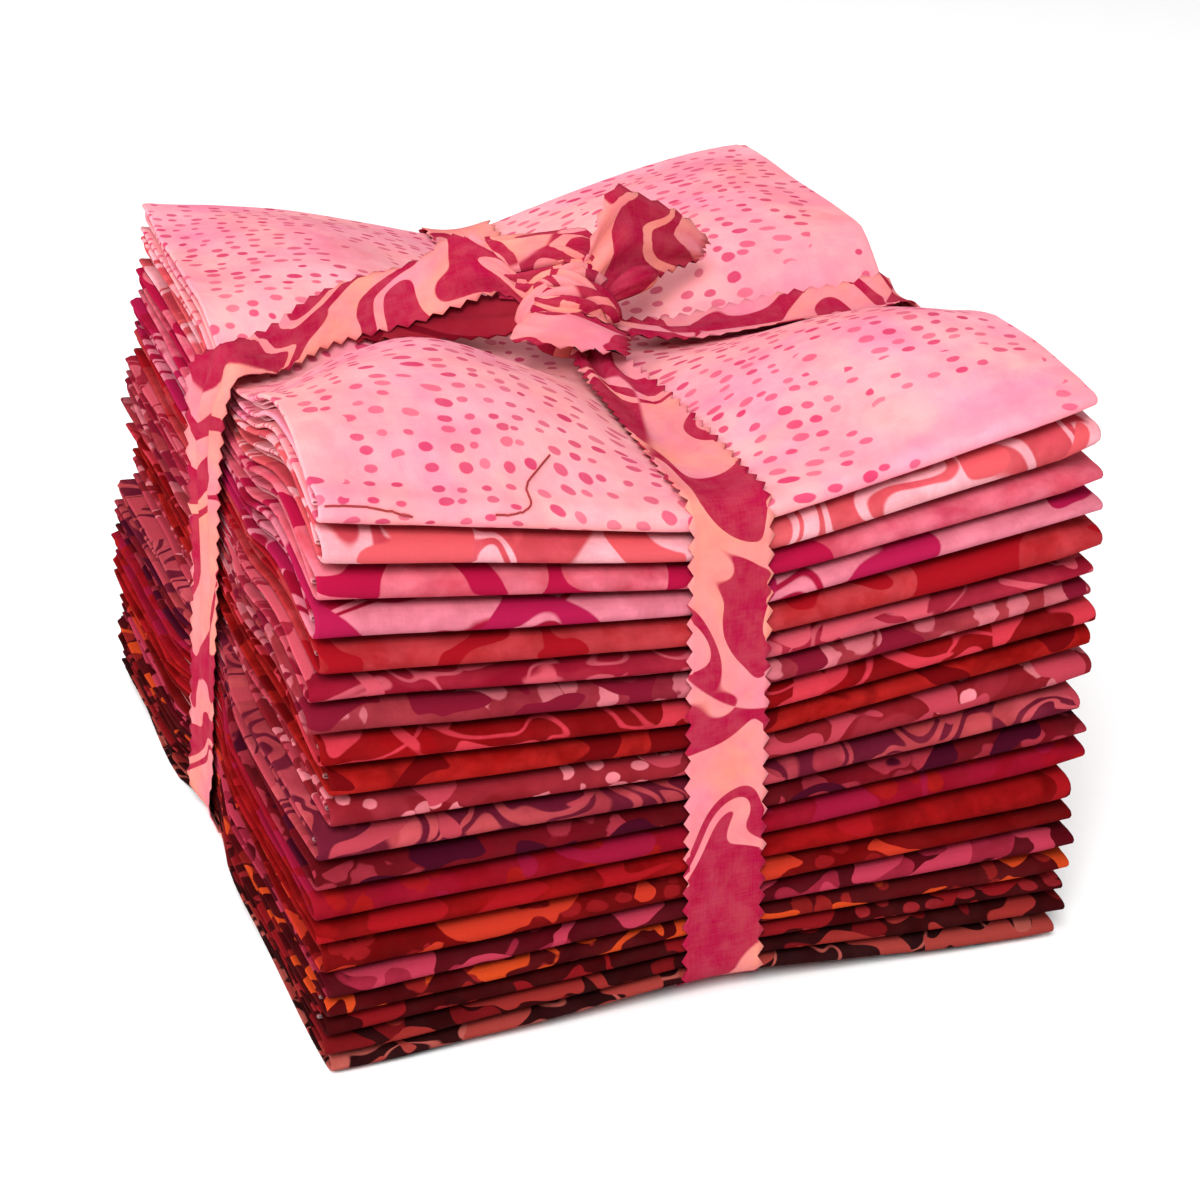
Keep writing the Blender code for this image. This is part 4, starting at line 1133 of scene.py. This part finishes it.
def print_mask(graph, flat, motif, size, cover, seed):
    """The mask of a motif over the cloth."""
    if motif in CELL_MOTIFS:
        return graph.group(wax_cells, Place=flat, Size=size, Seed=seed, Gaps=1.0 - cover,
                           **dict(zip(CELL_SOCKETS, CELL_MOTIFS[motif])))["Mask"]
    if motif not in LINE_MOTIFS:
        share = graph.group(dye_clouds, Place=flat, Size=size, Seed=seed + 9.0)["Share"]
        return graph.times(share, CLOUD_DEPTH)
    line, island, swirl = LINE_MOTIFS[motif]
    scrolls = motif == "scrolls"
    mask = graph.group(wax_lines, Place=flat, Size=size, Seed=seed + 5.0, Line=line,
                       Island=island - COVER_RISE * (cover - USUAL_COVER), Swirl=swirl,
                       Softness=SCROLL_SOFT if scrolls else WAX_SOFT)["Mask"]
    if scrolls:
        field = graph.group(wax_lines, Place=flat, Size=SCROLL_FIELDS * size, Seed=seed + 11.0,
                            Line=NO_LINE, Island=FIELD_LEAST, Swirl=0.3,
                            Softness=SCROLL_SOFT)["Mask"]
        mask = graph.math("ABSOLUTE", graph.less(mask, field))
    return mask


def linear_print(cloth_print, ground=None, marks=None):
    """A print with its colours made linear, or with a ground and marks of its own."""
    made = [colour_of(part) if isinstance(part, tuple) else part for part in cloth_print]
    if ground is not None:
        made[0], made[2] = tuple(ground), tuple(marks)
    return made


def scaled(colour, share, lift=0.0):
    """A colour made lighter or darker, and no lighter than white."""
    return (*(min(1.0, value * share + lift) for value in colour[:3]), 1.0)


def cloth_material(name, cloth_print, seed, cut, cloud, pale=False):
    """Printed cotton: clouded ground, motif, weave and, for a cut of known size,
    loose threads along its edges. A pale cloth is dyed more evenly. A number added
    to the seed keeps one layer apart from the others."""
    ground, second, motif_colour, motif, size, cover, accent = cloth_print
    material, graph, sockets = new_material(name, CLOTH_ROUGHNESS, CLOTH_SHINE)
    flat = graph.node("ShaderNodeUVMap", {"uv_map": "flat_cut"}).outputs["UV"]

    def clouds(across, moved):
        """Clouds of dye of one size, with their own number added to the seed."""
        return graph.group(dye_clouds, Place=flat, Size=across, Seed=seed + moved)["Share"]

    small = clouds(cloud * SMALL_CLOUDS, 2.0)
    colour = graph.mix(clouds(cloud, 0.0), ground, second)
    blotch = graph.group(wax_lines, Place=flat, Size=size * BLOTCHES, Seed=seed + 7.0,
                         Line=NO_LINE, Island=0.5, Swirl=0.4, Softness=BLOTCH_SOFT)["Mask"]
    colour = graph.mix(graph.times(blotch, PALE_BLOTCH if pale else DEEP_BLOTCH), colour, second)
    peach = (ground[0], ground[1], ground[2] * WARM_TINT, 1.0)
    colour = graph.mix(graph.times(clouds(cloud * WARM_CLOUDS, 6.0), WARM_DEPTH), colour, peach)
    colour = graph.mix(graph.times(graph.less(1.0, small), LIGHT_DEPTH), colour,
                       scaled(ground, *LIGHT_TONE))
    motif_tone = graph.mix(graph.times(small, MOTIF_CLOUDS), motif_colour, colour)
    colour = graph.mix(print_mask(graph, flat, motif, size, cover, seed), colour, motif_tone)
    for across, moved, depth in ((MOTTLE_SIZE, 15.0, MOTTLE_DEPTH),
                                 (WASH_SIZE, 17.0, WASH_DEPTH)):
        colour = graph.mix(graph.times(clouds(across, moved), depth), colour,
                           PALE_STAIN if pale else DEEP_STAIN, "MULTIPLY")
    if accent is not None:
        sparse = graph.group(wax_lines, Place=flat, Size=size * SPARSE_MARKS, Seed=seed + 13.0,
                             Line=NO_LINE, Island=0.58, Swirl=0.7)["Mask"]
        colour = graph.mix(sparse, colour, accent)
    weave = graph.group(plain_weave, Place=flat)
    yarn = scaled(second, *THREAD_TONE)
    colour = graph.mix(graph.times(weave["Tone"], WEAVE_TONE), colour, yarn)
    if cut is not None:
        edge = graph.group(cut_edge, Place=flat, Width=cut[0], Length=cut[1])["Mask"]
        colour = graph.mix(graph.times(edge, EDGE_TONE), colour, scaled(ground, *FRAYED_TONE))
    rumple = graph.noise(flat, RUMPLE, 3.0)["Fac"]
    height = graph.math("MULTIPLY_ADD", weave["Height"], WEAVE_HEIGHT, rumple)
    bump = graph.node("ShaderNodeBump", None, Strength=BUMP_STRENGTH, Distance=BUMP_HEIGHT,
                      Height=height)
    graph.feed(sockets["Base Color"], colour)
    graph.feed(sockets["Normal"], bump.outputs["Normal"])
    sockets["Sheen Weight"].default_value = SHEEN
    sockets["Sheen Tint"].default_value = second
    sockets["Sheen Roughness"].default_value = SHEEN_ROUGHNESS
    return material


def quarter_material(number, looks):
    """The print of a quarter; the top one's colours come from the panel."""
    on_top = number == 1
    own = (looks.top_ground, looks.top_dots) if on_top else ()
    return cloth_material("print_%02d" % number, linear_print(PRINTS[number - 1], *own),
                          QUARTER_SEED * number, (CUT_WIDTH, CUT_LENGTH), QUARTER_CLOUDS, on_top)


def strip_material(name, cloth_print):
    """One material of the strip's cloth: its print, or that print darkened as painted shade."""
    return cloth_material(name, cloth_print, STRIP_SEED, None, STRIP_CLOUDS, True)


def uneven_material(name, scale, dark, light, roughness):
    """A matt material that wanders a little between two colours."""
    material, graph, sockets = new_material(name, roughness, 0.1)
    spots = graph.node("ShaderNodeTexCoord").outputs["Object"]
    noise = graph.node("ShaderNodeTexNoise", None, Vector=spots, Scale=scale)
    graph.feed(sockets["Base Color"], graph.mix(noise.outputs["Fac"], dark, light))
    return material


# ---------------------------------------------------------------------------
# The stage

CAMERA_PLACE = (-0.1753, -0.5350, 0.3034)
CAMERA_TURN = (math.pi / 2.0 - 0.42604, 0.0, -0.33349)
CAMERA_LENS = 84.76
CAMERA_SENSOR = 36.0
CAMERA_NEAR = 0.01
# Soft lights: name, place, size, power in watts; all of them point at one spot
LIGHTS = (
    ("key_light", (-0.55, -1.4, 1.5), 0.9, 46.0),
    ("side_light", (-1.5, -0.3, 0.8), 1.2, 23.0),
    ("fill_light", (1.4, -0.9, 0.8), 1.2, 6.0),
    ("top_light", (0.0, 0.9, 2.0), 1.6, 18.0),
)
LIT_SPOT = (0.0, 0.0, 0.05)
FLOOR_TONES = ((0.93, 0.93, 0.93, 1.0), (0.95, 0.95, 0.95, 1.0))
FLOOR_SPOTS = 4.0
FLOOR_ROUGHNESS = 0.9


def build_stage(stage):
    """Floor, soft lights and the camera."""
    scene = bpy.context.scene
    mesh = bpy.data.meshes.new("pale_floor")
    work = bmesh.new()
    bmesh.ops.create_grid(work, x_segments=1, y_segments=1, size=stage.floor_size / 2.0)
    work.to_mesh(mesh)
    work.free()
    mesh.materials.append(uneven_material("pale_floor", FLOOR_SPOTS, *FLOOR_TONES,
                                          FLOOR_ROUGHNESS))
    floor = add_object("pale_floor", mesh)
    for name, where, size, power in LIGHTS:
        data = bpy.data.lights.new(name, "AREA")
        data.size = size
        data.energy = power * stage.light_strength
        light = add_object(name, data)
        light.location = where
        way = Vector(LIT_SPOT) - light.location
        light.rotation_euler = way.to_track_quat("-Z", "Y").to_euler()
    world = bpy.data.worlds.new("white_room")
    world.use_nodes = True
    background = world.node_tree.nodes["Background"]
    background.inputs["Color"].default_value = (1.0, 1.0, 1.0, 1.0)
    background.inputs["Strength"].default_value = stage.room_strength
    scene.world = world
    scene.view_settings.view_transform = "Standard"
    data = bpy.data.cameras.new("photo_camera")
    data.lens = CAMERA_LENS
    data.sensor_width = CAMERA_SENSOR
    data.clip_start = CAMERA_NEAR
    camera = add_object("photo_camera", data)
    camera.location = CAMERA_PLACE
    camera.rotation_euler = CAMERA_TURN
    bpy.context.scene.camera = camera


# ---------------------------------------------------------------------------
# The add-on

class BundleLooks(bpy.types.PropertyGroup):
    """What a user would change on the cloth."""

    cloth_thickness: FloatProperty(
        name="Cloth thickness", description="Thickness of one ply of the cotton",
        default=CLOTH_THICK * MM, min=0.0001, max=0.001, unit="LENGTH", subtype="DISTANCE")
    quarters: IntProperty(
        name="Quarters", description="How many quarters are folded, from the top one down",
        default=LEVELS, min=1, max=LEVELS)
    tooth_depth: FloatProperty(
        name="Tooth depth", description="Depth of the zigzag along the strip's edges",
        default=TOOTH_DEPTH * MM, min=0.0, max=0.004, unit="LENGTH", subtype="DISTANCE")
    top_ground: FloatVectorProperty(
        name="Top ground", description="Ground colour of the top quarter",
        default=colour_of(PRINTS[0][0]), size=4, min=0.0, max=1.0, subtype="COLOR")
    top_dots: FloatVectorProperty(
        name="Top dots", description="Colour of the dots on the top quarter",
        default=colour_of(PRINTS[0][2]), size=4, min=0.0, max=1.0, subtype="COLOR")
    strip_ground: FloatVectorProperty(
        name="Strip ground", description="Ground colour of the strip",
        default=colour_of(STRIP_PRINT[0]), size=4, min=0.0, max=1.0, subtype="COLOR")
    strip_scrolls: FloatVectorProperty(
        name="Strip scrolls", description="Colour of the scrolls on the strip",
        default=colour_of(STRIP_PRINT[2]), size=4, min=0.0, max=1.0, subtype="COLOR")


class BundleStage(bpy.types.PropertyGroup):
    """The room that the bundle is shown in."""

    floor_size: FloatProperty(
        name="Floor size", description="Length of each side of the floor",
        default=6.0, min=1.0, unit="LENGTH", subtype="DISTANCE")
    light_strength: FloatProperty(
        name="Light strength", description="Strength of the soft lights, 1 is as in the photo",
        default=1.0, min=0.0)
    room_strength: FloatProperty(
        name="Room strength", description="Strength of the light from all around",
        default=0.22, min=0.0)


class BUNDLE_OT_fold_quarters(bpy.types.Operator):
    """Fold the quarters and lay them in the squeezed stack"""

    bl_idname = "bundle.fold_quarters"
    bl_label = "Fold the quarters"

    def execute(self, context):
        looks = context.scene.bundle_looks
        for number, row in enumerate(rows()[:looks.quarters], start=1):
            fold_quarter(number, row, looks)
        return {"FINISHED"}


class BUNDLE_OT_tie_strip(bpy.types.Operator):
    """Tie the pinked strip round the stack and knot it"""

    bl_idname = "bundle.tie_strip"
    bl_label = "Tie the strip"

    def execute(self, context):
        tie_strip(context.scene.bundle_looks)
        return {"FINISHED"}


class BUNDLE_OT_stage(bpy.types.Operator):
    """Set the floor, the soft lights and the camera"""

    bl_idname = "bundle.stage"
    bl_label = "Set the stage"

    def execute(self, context):
        build_stage(context.scene.bundle_stage)
        return {"FINISHED"}


class BUNDLE_PT_panel(bpy.types.Panel):
    """The bundle's steps in the sidebar"""

    bl_label = "Fat quarter bundle"
    bl_idname = "BUNDLE_PT_panel"
    bl_space_type = "VIEW_3D"
    bl_region_type = "UI"
    bl_category = "Bundle"

    def draw(self, context):
        layout = self.layout
        for group in (context.scene.bundle_looks, context.scene.bundle_stage):
            for key in group.__annotations__:
                layout.prop(group, key)
        for step in STEPS:
            layout.operator(step.bl_idname)


STEPS = (BUNDLE_OT_fold_quarters, BUNDLE_OT_tie_strip, BUNDLE_OT_stage)
CLASSES = (BundleLooks, BundleStage, *STEPS, BUNDLE_PT_panel)


def register():
    for each in CLASSES:
        bpy.utils.register_class(each)
    bpy.types.Scene.bundle_looks = PointerProperty(type=BundleLooks)
    bpy.types.Scene.bundle_stage = PointerProperty(type=BundleStage)


def unregister():
    del bpy.types.Scene.bundle_stage
    del bpy.types.Scene.bundle_looks
    for each in reversed(CLASSES):
        bpy.utils.unregister_class(each)


def main():
    register()
    bpy.ops.bundle.fold_quarters()
    bpy.ops.bundle.tie_strip()
    bpy.ops.bundle.stage()


if __name__ == "__main__":
    main()
